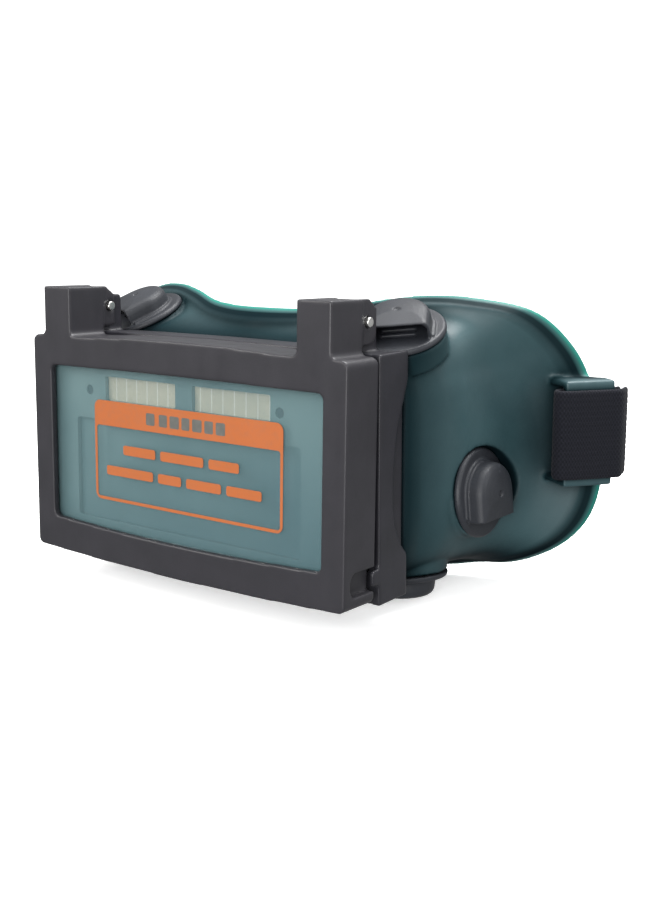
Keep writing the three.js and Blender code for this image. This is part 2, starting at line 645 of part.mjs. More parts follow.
// A point beside the right lug: along its plate from the front edge, and outwards from its middle plane.
function byLug(forward, outward) {
  return [LUG.front[0] + LUG_RUN.x * forward + LUG_RUN.y * outward,
    LUG.front[1] + LUG_RUN.y * forward - LUG_RUN.x * outward];
}

// Where the layers turn, behind the right lug.
const BEHIND_LUG = { inner: [92.4, 84.2], outer: [94.6, 85.1], innerNext: [91.2, 88.2], outerNext: [93, 89.4] };

// Round the right lug, from the rear of its outer face, forwards, and back behind it.
function roundLug() {
  return [byLug(LUG_LENGTH + 1, WRAP * 0.95), byLug(LUG_LENGTH - 2, WRAP), byLug(10, WRAP), byLug(1, WRAP),
    byLug(-1.6, WRAP * 0.72), byLug(-2.4, 0), byLug(-1.6, -WRAP * 0.72), byLug(1, -WRAP), byLug(10, -WRAP),
    byLug(LUG_LENGTH - 1, -WRAP), BEHIND_LUG.inner];
}

// The strap's straight run behind each lug: where it starts and the way it goes.
const RUN = { from: [84.6, 96.7], way: [-0.63, 0.775], length: 40, layers: 3.8 };

function onRun(forward, outward) {
  return [RUN.from[0] + RUN.way[0] * forward + RUN.way[1] * outward,
    RUN.from[1] + RUN.way[1] * forward - RUN.way[0] * outward];
}

function strapLine() {
  const flip = ([x, y]) => [-x, y];
  const { outer, innerNext, outerNext } = BEHIND_LUG;
  const sewnEnd = [onRun(4, 2.1), onRun(-4, 2.2), outerNext, outer];
  const rightRun = [innerNext, ...[-3, 4, 12, 20, 30, RUN.length].map((at) => onRun(at, 0))];
  const back = [[46.5, 142], [33, 160], [16, 173.5], [0, STRAP.reach], [-16, 173.5], [-33, 160], [-46.5, 142]];
  const leftRun = [...rightRun].reverse().map(flip);
  const looseRun = [4, 8, 12, 20, 28, 36].map((at) => onRun(at, RUN.layers));
  const looseEnd = [outer, outerNext, onRun(-3, 3.1), ...looseRun].map(flip);
  const leftLug = roundLug().reverse().map(flip);
  return [...sewnEnd, ...roundLug(), ...rightRun, ...back, ...leftRun, ...leftLug, ...looseEnd];
}

// How far the strap hangs below its level at the lugs.
function strapDroop(y) {
  const { drop, dropFrom, dropTo, sag, reach } = STRAP;
  const { smoothstep } = THREE.MathUtils;
  return drop * smoothstep(y, dropFrom, dropTo) + sag * smoothstep(y, onRun(RUN.length, 0)[1], reach);
}

function strapBand() {
  const curve = new THREE.CatmullRomCurve3(strapLine().map(([x, y]) => new THREE.Vector3(x, y, 0)), false,
    'centripetal');
  const sections = Array.from({ length: STRAP.sections + 1 }, (_, i) => {
    const point = curve.getPoint(i / STRAP.sections);
    const way = curve.getTangent(i / STRAP.sections);
    const droop = strapDroop(point.y);
    const corner = (outward, upward) => new THREE.Vector3(point.x + (way.y * STRAP.thick * outward) / 2,
      point.y - (way.x * STRAP.thick * outward) / 2, STRAP.midZ - droop + (STRAP.width * upward) / 2);
    return [corner(1, -1), corner(-1, -1), corner(-1, 1), corner(1, 1)];
  });
  return loft(sections, true);
}

// Slides along the left run. Its middle bar lies between the strap's two layers.
function strapSlider() {
  const { height, length, bar, thick, play } = SLIDER;
  const slot = STRAP.thick + play;
  const block = new THREE.BoxGeometry(length, thick, height);
  const slots = [-1, 1].map((way) => new THREE.BoxGeometry(length + 2, slot, STRAP.width + play)
    .translate(0, (way * (bar + slot)) / 2, 0));
  return geometryOf(cutAll(solid(block), slots));
}

// ---------------------------------------------------------------- assembly
const COLOUR = { black: 0x38383c, softGreen: 0x24504c, rubber: 0x1d1f22, steel: 0xc8c8c4, clear: 0xcfe3e6,
  film: 0xa9c6c8, glass: 0x2e5a62, cell: 0x7f938c, board: 0x2c5e3c, sensor: 0x51606a, web: 0x17191d };

function piece(name, geometry, color, roughness = 0.5, metalness = 0) {
  const mesh = new THREE.Mesh(geometry, new THREE.MeshStandardMaterial({ color, roughness, metalness }));
  mesh.name = name;
  return mesh;
}

// The filter frame and all it carries, turned about the hinge pins to where it stands.
function frontAssembly() {
  const parts = new THREE.Group();
  parts.position.set(0, -PIN.y, -PIN.z);
  parts.add(piece('flip_frame', flipFrame(), COLOUR.black, 0.45));
  parts.add(piece('protective_film', plainSheet(-0.4, LAYER.film), COLOUR.film, 0.3));
  parts.add(piece('cover_lens', plainSheet(-0.2, LAYER.cover), COLOUR.clear, 0.1));
  parts.add(piece('filter_case', filterCase(), COLOUR.black, 0.5));
  parts.add(piece('shutter_glass', shutterGlass(), COLOUR.glass, 0.08));
  parts.add(piece('solar_cell_left', solarCell(CELLS.spans[0]), COLOUR.cell, 0.3));
  parts.add(piece('solar_cell_right', solarCell(CELLS.spans[1]), COLOUR.cell, 0.3));
  parts.add(piece('light_sensor_left', sensorRod(SENSORS.x[0], SENSORS.radius, ...LAYER.sensor), COLOUR.sensor));
  parts.add(piece('light_sensor_right', sensorRod(SENSORS.x[1], SENSORS.radius, ...LAYER.sensor), COLOUR.sensor));
  parts.add(piece('filter_board', filterBoard(), COLOUR.board, 0.6));
  parts.add(piece('filter_back', filterBack(), COLOUR.black, 0.5));
  parts.add(piece('filter_retainer', filterRetainer(), COLOUR.black, 0.5));
  const hinge = new THREE.Group();
  hinge.position.set(0, PIN.y, PIN.z);
  hinge.rotation.x = -THREE.MathUtils.degToRad(REST_TILT);
  hinge.add(parts);
  return hinge;
}

function holderAssembly() {
  const group = new THREE.Group();
  group.add(piece('lens_holder', lensHolder(), COLOUR.black, 0.5));
  group.add(piece('lens_retainer', framedSheet(0.3, 4, HOLDER.front + 0.2, HOLDER.front + 1.1), COLOUR.black));
  group.add(piece('clear_lens', plainSheet(0, [HOLDER.front + 1.3, HOLDER.front + 3.1]), COLOUR.clear, 0.1));
  group.add(piece('lens_gasket', framedSheet(0, 3, HOLDER.front + 3.25, HOLDER.front + 4.05), COLOUR.rubber, 0.8));
  group.add(piece('hinge_pin_left', hingePin(-1), COLOUR.steel, 0.25, 1));
  group.add(piece('hinge_pin_right', hingePin(1), COLOUR.steel, 0.25, 1));
  return group;
}

function maskAssembly() {
  const group = new THREE.Group();
  group.add(piece('mask_body', maskBody(), COLOUR.softGreen, 0.45));
  for (const { name, seat } of VENTS) {
    const place = new THREE.Group();
    place.applyMatrix4(seatMatrix(seat));
    place.add(piece(`vent_cap_${name}`, ventCap(), COLOUR.black, 0.55));
    place.add(piece(`vent_ring_${name}`, ventRing(), COLOUR.black, 0.55));
    group.add(place);
  }
  return group;
}

function strapAssembly() {
  const group = new THREE.Group();
  group.add(piece('strap', strapBand(), COLOUR.web, 0.9));
  const slider = piece('strap_slider', strapSlider(), COLOUR.black, 0.5);
  const [x, y] = onRun(SLIDER.along, RUN.layers / 2);
  slider.position.set(-x, y, STRAP.midZ - strapDroop(y));
  slider.rotation.z = Math.atan2(RUN.way[1], -RUN.way[0]);
  group.add(slider);
  return group;
}

const goggles = new THREE.Group();
goggles.add(frontAssembly(), holderAssembly(), maskAssembly(), strapAssembly());

goggles.updateMatrixWorld(true);
const bounds = new THREE.Box3().setFromObject(goggles, true);
goggles.position.set(0, -(bounds.min.y + bounds.max.y) / 2, -bounds.min.z);

export default goggles;
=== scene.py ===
"""Lift-front welding goggles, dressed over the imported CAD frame.

Shapes are worked out in bench millimetres, the way the CAD part is drawn: x = 0 is the middle, y = 0 the
front face of the shut filter frame, and z = 0 that frame's bottom edge. `placed` takes them to the row frame
in metres.
"""
import math

import bmesh
import bpy
import numpy as np
from mathutils import Matrix, Vector


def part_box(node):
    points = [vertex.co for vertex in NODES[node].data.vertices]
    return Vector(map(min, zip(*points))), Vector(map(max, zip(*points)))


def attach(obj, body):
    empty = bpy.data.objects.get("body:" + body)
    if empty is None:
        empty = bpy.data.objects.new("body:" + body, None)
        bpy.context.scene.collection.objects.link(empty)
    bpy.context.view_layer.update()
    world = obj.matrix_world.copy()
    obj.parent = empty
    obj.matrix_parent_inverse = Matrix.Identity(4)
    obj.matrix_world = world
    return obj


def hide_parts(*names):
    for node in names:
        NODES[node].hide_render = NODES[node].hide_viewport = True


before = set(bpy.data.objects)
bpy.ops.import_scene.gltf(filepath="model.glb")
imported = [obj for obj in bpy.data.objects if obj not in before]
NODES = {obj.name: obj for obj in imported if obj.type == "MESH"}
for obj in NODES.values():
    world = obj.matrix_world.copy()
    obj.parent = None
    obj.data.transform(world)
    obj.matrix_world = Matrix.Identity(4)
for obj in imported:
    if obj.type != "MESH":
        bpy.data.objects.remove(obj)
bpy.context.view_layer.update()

MM = 0.001
GAP = 0.3  # clearance between touching pieces
FILTER = {"width": 108.0, "height": 51.0, "centre_z": 33.0}
LENS_FRONT = 16.0  # bench y of the clear lens's front face
REST_TILT = math.radians(1.7)
NECK_Y = 28.3  # bench y where the mask leaves the lens holder
PIN_Y, PIN_Z = 16.7, 73.5

lens_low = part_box("clear_lens")[0]
ORIGIN = Vector((
    0.0,
    lens_low.y - LENS_FRONT * MM,
    lens_low.z - (FILTER["centre_z"] - FILTER["height"] / 2) * MM,
))


NECK_DEPTH = ORIGIN.y + NECK_Y * MM


def placed(points):
    """Bench millimetres to row metres."""
    return np.asarray(points, float) * MM + np.array(ORIGIN)


def tilted(points):
    """Points of the shut filter frame, turned to where it stands at rest."""
    p = np.array(points, float)
    y, z = p[..., 1] - PIN_Y, p[..., 2] - PIN_Z
    c, s = math.cos(REST_TILT), math.sin(REST_TILT)
    p[..., 1] = PIN_Y + y * c + z * s
    p[..., 2] = PIN_Z - y * s + z * c
    return p


# ---------------------------------------------------------------- camera
AZIMUTH = math.radians(36.8)
ELEVATION = math.radians(11.35)
ROLL = math.radians(-0.21)
DISTANCE = 302.07
AIM = (53.04, 0.0, 42.64)


def add_camera():
    back = Vector((
        math.sin(AZIMUTH) * math.cos(ELEVATION),
        -math.cos(AZIMUTH) * math.cos(ELEVATION),
        math.sin(ELEVATION),
    ))
    level = Vector((0, 0, 1)).cross(back).normalized()
    upright = back.cross(level)
    right = math.cos(ROLL) * level + math.sin(ROLL) * upright
    up = back.cross(right)
    data = bpy.data.cameras.new("camera")
    data.lens = 48
    data.sensor_width = 36
    data.clip_start = 0.01
    camera = bpy.data.objects.new("camera", data)
    bpy.context.scene.collection.objects.link(camera)
    spot = Vector(placed(AIM)) + back * DISTANCE * MM
    camera.matrix_world = Matrix.Translation(spot) @ Matrix((right, up, back)).transposed().to_4x4()
    bpy.context.scene.camera = camera


add_camera()


# ---------------------------------------------------------------- node materials
class Shader:
    """A material's node tree, with short ways to add and join nodes."""

    def __init__(self, name):
        self.material = bpy.data.materials.new(name)
        self.material.use_nodes = True
        self.tree = self.material.node_tree
        self.bsdf = self.tree.nodes["Principled BSDF"]
        self.coords = self.add("ShaderNodeTexCoord").outputs["Object"]

    def add(self, kind, inputs=None, **settings):
        node = self.tree.nodes.new(kind)
        for key, value in settings.items():
            setattr(node, key, value)
        for key, value in (inputs or {}).items():
            if isinstance(value, bpy.types.NodeSocket):
                self.tree.links.new(value, node.inputs[key])
            else:
                node.inputs[key].default_value = value
        return node

    def set(self, **sockets):
        for key, value in sockets.items():
            name = key.replace("_", " ")
            if isinstance(value, bpy.types.NodeSocket):
                self.tree.links.new(value, self.bsdf.inputs[name])
            else:
                self.bsdf.inputs[name].default_value = value

    def noise(self, scale, detail=3.0, rough=0.5, vector=None):
        inputs = {"Vector": vector or self.coords, "Scale": scale, "Detail": detail, "Roughness": rough}
        return self.add("ShaderNodeTexNoise", inputs).outputs["Fac"]

    def stretched(self, x, y, z, vector=None):
        inputs = {"Vector": vector or self.coords, "Scale": (x, y, z)}
        return self.add("ShaderNodeMapping", inputs).outputs["Vector"]

    def span(self, value, low, high, to_low, to_high):
        inputs = {"Value": value, "From Min": low, "From Max": high, "To Min": to_low, "To Max": to_high}
        return self.add("ShaderNodeMapRange", inputs).outputs["Result"]

    def mix(self, share, one, other):
        node = self.add("ShaderNodeMix", data_type="RGBA")
        for socket, value in ((0, share), (6, one), (7, other)):
            if isinstance(value, bpy.types.NodeSocket):
                self.tree.links.new(value, node.inputs[socket])
            else:
                node.inputs[socket].default_value = value
        return node.outputs[2]

    def maths(self, operation, one, other=0.0):
        node = self.add("ShaderNodeMath", operation=operation)
        for socket, value in ((0, one), (1, other)):
            if isinstance(value, bpy.types.NodeSocket):
                self.tree.links.new(value, node.inputs[socket])
            else:
                node.inputs[socket].default_value = value
        return node.outputs[0]

    def bump(self, height, distance, strength=1.0, under=None):
        inputs = {"Height": height, "Distance": distance, "Strength": strength}
        if under:
            inputs["Normal"] = under
        return self.add("ShaderNodeBump", inputs).outputs["Normal"]


def colour(red, green, blue):
    return (red, green, blue, 1.0)


def moulded_plastic(name, dark, light, rough, grain=0.00002, scuff=0.07):
    """Injection-moulded plastic: cloudy tone, a fine grain, faint rubbed streaks and paler edges."""
    s = Shader(name)
    cloud = s.noise(70.0, 4.0, 0.6)
    tone = s.mix(s.span(cloud, 0.35, 0.7, 0.0, 1.0), dark, light)
    worn = tuple(min(1.0, c * 2.6 + 0.02) for c in light[:3]) + (1.0,)
    streak = s.noise(260.0, 5.0, 0.7, s.stretched(1.0, 1.0, 0.12))
    edge = s.add("ShaderNodeNewGeometry").outputs["Pointiness"]
    edge_share = s.span(edge, 0.53, 0.66, 0.0, 0.55)
    rubbed = s.maths("MULTIPLY", edge_share, s.span(streak, 0.35, 0.65, 0.2, 1.0))
    s.set(Base_Color=s.mix(rubbed, tone, worn))
    s.set(Roughness=s.span(streak, 0.3, 0.7, rough - scuff / 2, rough + scuff), Specular_IOR_Level=0.32)
    fine = s.noise(2600.0, 2.0)
    broad = s.noise(45.0, 2.0)
    s.set(Normal=s.bump(fine, grain, under=s.bump(broad, 0.00025, 0.12)))
    return s.material


def mask_rubber():
    """Soft green moulding: painted glow on the thin rim; painted shade in the groove within it, in hollows, by the
    neck.
    """
    s = Shader("mask_green")
    edge = s.add("ShaderNodeAttribute", attribute_name="edge_mm").outputs["Fac"]
    cloud = s.noise(42.0, 4.0, 0.6)
    deep = colour(0.011, 0.038, 0.045)
    plain = colour(0.018, 0.052, 0.059)
    wall = s.mix(s.span(cloud, 0.3, 0.7, 0.0, 1.0), deep, plain)
    # Painted shade: a near-black band 4.5 to 8.5 mm in from the rim's edge, where the lip creases.
    in_groove = s.span(edge, 4.5, 8.5, 1.0, 0.0)
    groove = s.mix(s.maths("MULTIPLY", in_groove, 0.92), wall, colour(0.002, 0.008, 0.010))
    # Painted shade: darker in hollows, from ambient occlusion, and by depth towards the neck where the wall meets
    # the lens holder.
    open_air = s.add("ShaderNodeAmbientOcclusion", {"Distance": 0.022}).outputs["AO"]
    depth = s.add("ShaderNodeSeparateXYZ", {"Vector": s.coords}).outputs["Y"]
    from_neck = s.span(depth, NECK_DEPTH, NECK_DEPTH + 0.022, 0.0, 1.0)
    lit = s.maths("MULTIPLY", s.span(open_air, 0.4, 0.85, 0.0, 1.0), s.span(from_neck, 0.0, 1.0, 0.1, 1.0))
    shaded = s.mix(lit, colour(0.002, 0.006, 0.008), groove)
    # Painted glow: the rim's outer 2.8 mm is a lighter green, brightest at the very edge, standing for light
    # through thin rubber.
    thin = s.span(edge, 1.6, 2.8, 1.0, 0.0)
    lip = s.mix(s.span(edge, 0.5, 1.5, 1.0, 0.0), colour(0.014, 0.060, 0.060), colour(0.007, 0.14, 0.11))
    s.set(Base_Color=s.mix(thin, shaded, lip))
    s.set(Roughness=s.span(s.noise(120.0, 4.0), 0.3, 0.7, 0.5, 0.62))
    # The painted shade and the groove also lose most of their reflection; the rim reflects a little more.
    shine = s.maths("MULTIPLY", s.span(lit, 0.2, 1.0, 0.05, 0.55), s.span(in_groove, 0.0, 1.0, 1.0, 0.12))
    s.set(Specular_IOR_Level=s.maths("MAXIMUM", shine, s.maths("MULTIPLY", thin, 0.3)))
    broad = s.bump(s.noise(38.0, 2.0), 0.0005, 0.3)
    s.set(Normal=s.bump(s.noise(1500.0, 2.0), 0.00002, under=broad))
    return s.material


def clear_pane(name, tint, alpha, rough):
    s = Shader(name)
    s.set(Base_Color=tint, Alpha=alpha, Specular_IOR_Level=0.3)
    smear = s.noise(55.0, 5.0, 0.65)
    s.set(Roughness=s.span(smear, 0.3, 0.75, rough, rough + 0.08))
    return s.material


def film_sheet():
    """Peel-off film: a thin blue-green haze with soft creases."""
    s = Shader("film")
    crease = s.noise(60.0, 3.0, 0.5, s.stretched(0.35, 1.0, 1.6))
    s.set(Base_Color=colour(0.13, 0.21, 0.22))
    s.set(Alpha=s.span(s.noise(30.0, 4.0), 0.3, 0.7, 0.10, 0.17))
    s.set(Roughness=s.span(crease, 0.3, 0.7, 0.16, 0.3), Specular_IOR_Level=0.3)
    s.set(Normal=s.bump(crease, 0.0004, 0.5))
    return s.material


def filter_face(name, base, shade):
    """The cartridge's coated face: teal, with painted shade towards the bottom and a little to the right, and a
    faint mottle.
    """
    s = Shader(name)
    at = s.add("ShaderNodeSeparateXYZ", {"Vector": s.coords})
    # Painted shade: the colour runs from base to shade towards the bottom and a little to the right.
    slant = s.maths("SUBTRACT", s.maths("MULTIPLY", at.outputs["X"], 0.25), at.outputs["Z"])
    tone = s.mix(s.span(slant, -0.075, -0.01, 0.0, 1.0), base, shade)
    darker = tuple(c * 0.88 for c in shade[:3]) + (1.0,)
    s.set(Base_Color=s.mix(s.span(s.noise(24.0, 3.0), 0.4, 0.7, 0.0, 0.6), tone, darker))
    s.set(Roughness=s.span(s.noise(300.0, 3.0), 0.3, 0.7, 0.14, 0.24))
    s.set(Coat_Weight=0.15, Coat_Roughness=0.06, Specular_IOR_Level=0.35)
    return s.material


def solar_face():
    """Pale cells, divided by thin upright lines."""
    s = Shader("solar_cell")
    across = s.add("ShaderNodeSeparateXYZ", {"Vector": s.coords}).outputs["X"]
    strip = s.maths("FRACT", s.maths("MULTIPLY", across, 240.0))
    line = s.maths("LESS_THAN", strip, 0.09)
    mottle = s.span(s.noise(500.0, 3.0), 0.3, 0.7, 0.0, 0.5)
    pale = s.mix(mottle, colour(0.53, 0.49, 0.37), colour(0.43, 0.41, 0.32))
    s.set(Base_Color=s.mix(line, pale, colour(0.66, 0.66, 0.56)))
    s.set(Roughness=s.span(mottle, 0.0, 0.5, 0.25, 0.4))
    return s.material


def printed(name, ink, bare):
    """Screen-printed ink, a little uneven."""
    s = Shader(name)
    s.set(Base_Color=s.mix(s.span(s.noise(700.0, 4.0), 0.45, 0.8, 0.0, 0.5), ink, bare))
    s.set(Roughness=s.span(s.noise(90.0, 3.0), 0.3, 0.7, 0.38, 0.5))
    return s.material


def turned_steel():
    s = Shader("pin_steel")
    wear = s.noise(900.0, 4.0, 0.6)
    s.set(Base_Color=s.mix(s.span(wear, 0.4, 0.8, 0.0, 1.0), colour(0.72, 0.72, 0.7), colour(0.3, 0.28, 0.26)))
    s.set(Metallic=1.0, Roughness=s.span(wear, 0.3, 0.7, 0.22, 0.42))
    s.set(Normal=s.bump(wear, 0.00003))
    return s.material


def woven_band():
    """Black elastic webbing: warp ribs are in the mesh, and the weft crosses them."""
    s = Shader("band")
    uv = s.add("ShaderNodeTexCoord").outputs["UV"]
    along = s.add("ShaderNodeSeparateXYZ", {"Vector": uv}).outputs["X"]
    up = s.add("ShaderNodeSeparateXYZ", {"Vector": uv}).outputs["Y"]
    step = s.maths("MULTIPLY", s.maths("FLOOR", s.maths("MULTIPLY", up, 1300.0)), 0.5)
    turns = s.maths("ADD", s.maths("MULTIPLY", along, 1150.0), step)
    weft = s.maths("SINE", s.maths("MULTIPLY", turns, math.tau))
    fuzz = s.noise(3200.0, 3.0, 0.7)
    dark, light = colour(0.003, 0.0035, 0.0055), colour(0.008, 0.0085, 0.013)
    thread = s.mix(s.span(weft, -1.0, 1.0, 0.0, 1.0), dark, light)
    s.set(Base_Color=s.mix(s.span(fuzz, 0.5, 0.85, 0.0, 0.4), thread, colour(0.018, 0.019, 0.027)))
    s.set(Roughness=s.span(fuzz, 0.3, 0.7, 0.78, 0.95))
    s.set(Sheen_Weight=0.02, Sheen_Roughness=0.5, Specular_IOR_Level=0.15)
    s.set(Normal=s.bump(s.maths("ADD", weft, s.maths("MULTIPLY", fuzz, 1.5)), 0.00007, 0.8))
    return s.material


def circuit_board():
    s = Shader("board")
    tracks = s.add("ShaderNodeTexBrick", {"Vector": s.coords, "Scale": 220.0}).outputs["Fac"]
    s.set(Base_Color=s.mix(tracks, colour(0.02, 0.12, 0.05), colour(0.05, 0.2, 0.08)))
    s.set(Roughness=s.span(s.noise(200.0), 0.3, 0.7, 0.35, 0.5))
    return s.material


FRAME_BLACK = moulded_plastic("frame_black", colour(0.0155, 0.015, 0.018), colour(0.020, 0.019, 0.023), 0.42)
HOLDER_BLACK = moulded_plastic("holder_black", colour(0.011, 0.011, 0.014), colour(0.016, 0.0155, 0.020), 0.4)
VENT_BLACK = moulded_plastic(
    "vent_black", colour(0.012, 0.0135, 0.017), colour(0.018, 0.020, 0.025), 0.5, grain=0.00004)
CLIP_BLACK = moulded_plastic("clip_black", colour(0.012, 0.012, 0.014), colour(0.018, 0.018, 0.021), 0.45)
MASK_GREEN = mask_rubber()
COVER_PANE = clear_pane("cover_pane", colour(0.10, 0.18, 0.20), 0.10, 0.04)
LENS_PANE = clear_pane("lens_pane", colour(0.30, 0.37, 0.37), 0.08, 0.03)
FILM_HAZE = film_sheet()
# Each face darkens from its first colour to its second, the painted shade, towards the bottom.
CASE_TEAL = filter_face("case_teal", colour(0.185, 0.265, 0.262), colour(0.038, 0.082, 0.100))
SHUTTER = filter_face("filter_glass", colour(0.160, 0.240, 0.242), colour(0.030, 0.072, 0.092))
SOLAR = solar_face()
SENSOR = filter_face("sensor", colour(0.045, 0.070, 0.078), colour(0.035, 0.055, 0.064))
ORANGE = printed("label_orange", colour(0.31, 0.082, 0.019), colour(0.22, 0.083, 0.038))
LABEL_GREY = printed("label_grey", colour(0.075, 0.075, 0.068), colour(0.12, 0.115, 0.10))
STEEL = turned_steel()
BAND = woven_band()
BOARD = circuit_board()
GASKET = moulded_plastic("gasket", colour(0.012, 0.012, 0.013), colour(0.02, 0.02, 0.021), 0.8)


# ---------------------------------------------------------------- mesh tools
def add_object(name, mesh, material, body):
    """A finished piece, with its material, riding on its body."""
    mesh.materials.clear()
    mesh.materials.append(material)
    obj = bpy.data.objects.new(name, mesh)
    bpy.context.scene.collection.objects.link(obj)
    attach(obj, body)
    return obj


def mesh_from(name, points, faces, smooth=True):
    """A mesh from bench points, moved to the row frame."""
    mesh = bpy.data.meshes.new(name)
    mesh.from_pydata([tuple(p) for p in placed(points)], [], [tuple(f) for f in faces])
    mesh.validate()
    if smooth:
        mesh.shade_smooth()
    else:
        mesh.shade_flat()
    return mesh


def evaluated(mesh, modifiers):
    """The mesh with modifiers applied: each is (type, {setting: value})."""
    holder = bpy.data.objects.new("holder", mesh)
    bpy.context.scene.collection.objects.link(holder)
    for kind, settings in modifiers:
        modifier = holder.modifiers.new(kind.lower(), kind)
        for key, value in settings.items():
            setattr(modifier, key, value)
    bpy.context.view_layer.update()
    graph = bpy.context.evaluated_depsgraph_get()
    result = bpy.data.meshes.new_from_object(holder.evaluated_get(graph))
    bpy.data.objects.remove(holder)
    return result


def combined(mesh, others, operation):
    """One boolean after another with closed meshes."""
    tools = []
    for other in others:
        tool = bpy.data.objects.new("tool", other)
        bpy.context.scene.collection.objects.link(tool)
        tools.append(tool)
    steps = [("BOOLEAN", {"operation": operation, "solver": "MANIFOLD", "object": tool}) for tool in tools]
    result = evaluated(mesh, steps)
    for tool in tools:
        bpy.data.objects.remove(tool)
    return result


def softened(mesh, voxel, rounds):
    """Remeshed evenly and relaxed, so that corners and joins come out moulded."""
    steps = [
        ("REMESH", {"mode": "VOXEL", "voxel_size": voxel * MM, "use_smooth_shade": True}),
        ("SMOOTH", {"factor": 0.5, "iterations": rounds}),
    ]
    return evaluated(mesh, steps)


def tidy_copy(node):
    """A copy of a CAD node's mesh with its flat faces made whole again."""
    mesh = NODES[node].data.copy()
    work = bmesh.new()
    work.from_mesh(mesh)
    bmesh.ops.remove_doubles(work, verts=work.verts, dist=2e-6)
    edges, verts = list(work.edges), list(work.verts)
    bmesh.ops.dissolve_limit(work, angle_limit=math.radians(1.0), edges=edges, verts=verts)
    work.to_mesh(mesh)
    work.free()
    return mesh


def dress(node, body, material, width=0.35, segments=3, angle=32.0):
    """The CAD node's own shape with its sharp edges broken, standing for the node."""
    bevel = {
        "width": width * MM, "segments": segments, "limit_method": "ANGLE", "angle_limit": math.radians(angle),
        "harden_normals": True, "use_clamp_overlap": True, "miter_outer": "MITER_ARC",
    }
    mesh = tidy_copy(node)
    mesh.shade_smooth()
    mesh.set_sharp_from_angle(angle=math.radians(angle))
    mesh = evaluated(mesh, [("BEVEL", bevel)])
    piece = add_object(node + "_shape", mesh, material, body)
    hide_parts(node)
    return piece


def mould(node, body, material, voxel=0.45, rounds=6, upright=False):
    """The CAD node's own shape with the soft edges of a moulding; a tilted one is worked on upright."""
    mesh = NODES[node].data.copy()
    pin = Vector(placed((0.0, PIN_Y, PIN_Z)))
    turn = Matrix.Translation(pin) @ Matrix.Rotation(REST_TILT, 4, "X") @ Matrix.Translation(-pin)
    if upright:
        mesh.transform(turn)
    mesh = softened(mesh, voxel, rounds)
    if upright:
        mesh.transform(turn.inverted())
    piece = add_object(node + "_shape", mesh, material, body)
    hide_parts(node)
    return piece


def paint(node, material):
    """A CAD node that stays as it is takes a better material."""
    mesh = NODES[node].data
    mesh.materials.clear()
    mesh.materials.append(material)


# ---------------------------------------------------------------- curves
def spline(points, closed, per_span):
    """Centripetal Catmull-Rom curve through the points."""
    p = np.array(points, float)
    ends = (p[-1:], p[:2]) if closed else (2 * p[:1] - p[1:2], 2 * p[-1:] - p[-2:-1])
    q = np.vstack([ends[0], p, ends[1]])
    out = []
    for i in range(len(p) if closed else len(p) - 1):
        a, b, c, d = q[i:i + 4]
        gaps = [math.sqrt(np.linalg.norm(v - u)) or 1.0 for u, v in ((a, b), (b, c), (c, d))]
        g0, g1, g2 = gaps
        m1 = ((b - a) / g0 - (c - a) / (g0 + g1) + (c - b) / g1) * g1
        m2 = ((c - b) / g1 - (d - b) / (g1 + g2) + (d - c) / g2) * g1
        for t in np.linspace(0, 1, per_span, endpoint=False):
            h = (2 * t**3 - 3 * t**2 + 1, t**3 - 2 * t**2 + t, -2 * t**3 + 3 * t**2, t**3 - t**2)
            out.append(h[0] * b + h[1] * m1 + h[2] * c + h[3] * m2)
    if not closed:
        out.append(p[-1])
    return np.array(out)


def smooth_run(run, at):
    """A smooth curve that never overshoots through (x, y) pairs."""
    x, y = np.array(run, float).T
    slope = np.diff(y) / np.diff(x)
    tangent = np.zeros(len(x))
    tangent[0], tangent[-1] = slope[0], slope[-1]
    for i in range(1, len(x) - 1):
        if slope[i - 1] * slope[i] > 0:
            tangent[i] = 2 * slope[i - 1] * slope[i] / (slope[i - 1] + slope[i])
    at = np.clip(at, x[0], x[-1])
    i = np.clip(np.searchsorted(x, at, side="right") - 1, 0, len(x) - 2)
    wide = x[i + 1] - x[i]
    t = (at - x[i]) / wide
    return ((2 * t**3 - 3 * t**2 + 1) * y[i] + (t**3 - 2 * t**2 + t) * wide * tangent[i]
            + (3 * t**2 - 2 * t**3) * y[i + 1] + (t**3 - t**2) * wide * tangent[i + 1])


def smoothstep(x, low, high):
    t = np.clip((x - low) / (high - low), 0, 1)
    return t * t * (3 - 2 * t)


def ring_faces(rings, count, closed):
    """Quads between successive rings of points."""
    faces = []
    for i in range(rings if closed else rings - 1):
        for k in range(count):
            a, b = i * count, ((i + 1) % rings) * count
            faces.append((a + k, a + (k + 1) % count, b + (k + 1) % count, b + k))
    return faces


def revolved(profile, segments=72):
    """A closed solid of revolution about y, from (radius, height) pairs that start and end on the axis."""
    turns = np.linspace(0, 2 * np.pi, segments, endpoint=False)
    level = np.ones(segments)
    rings = [np.stack([r * np.cos(turns), h * level, r * np.sin(turns)], 1) for r, h in profile[1:-1]]
    points = np.vstack(rings + [[[0, profile[0][1], 0]], [[0, profile[-1][1], 0]]])
    faces = ring_faces(len(rings), segments, False)
    first, last = len(points) - 2, len(points) - 1
    top = (len(rings) - 1) * segments
    for k in range(segments):
        k2 = (k + 1) % segments
        faces.append((first, k2, k))
        faces.append((last, top + k, top + k2))
    return points, faces


def prism(outline, low, high):
    """A closed prism: outline is (across, back) pairs, and height runs along y."""
    flat = np.array(outline, float)
    n = len(flat)
    points = np.vstack([np.stack([flat[:, 0], np.full(n, h), flat[:, 1]], 1) for h in (low, high)])
    faces = [(k, (k + 1) % n, n + (k + 1) % n, n + k) for k in range(n)]
    faces += [tuple(range(n - 1, -1, -1)), tuple(range(n, 2 * n))]
    return points, faces


def outward(mesh):
    """Turns every face outwards."""
    work = bmesh.new()
    work.from_mesh(mesh)
    bmesh.ops.recalc_face_normals(work, faces=work.faces)
    work.to_mesh(mesh)
    work.free()
    return mesh


def solid(points, faces):
    return outward(mesh_from("solid", points, faces))


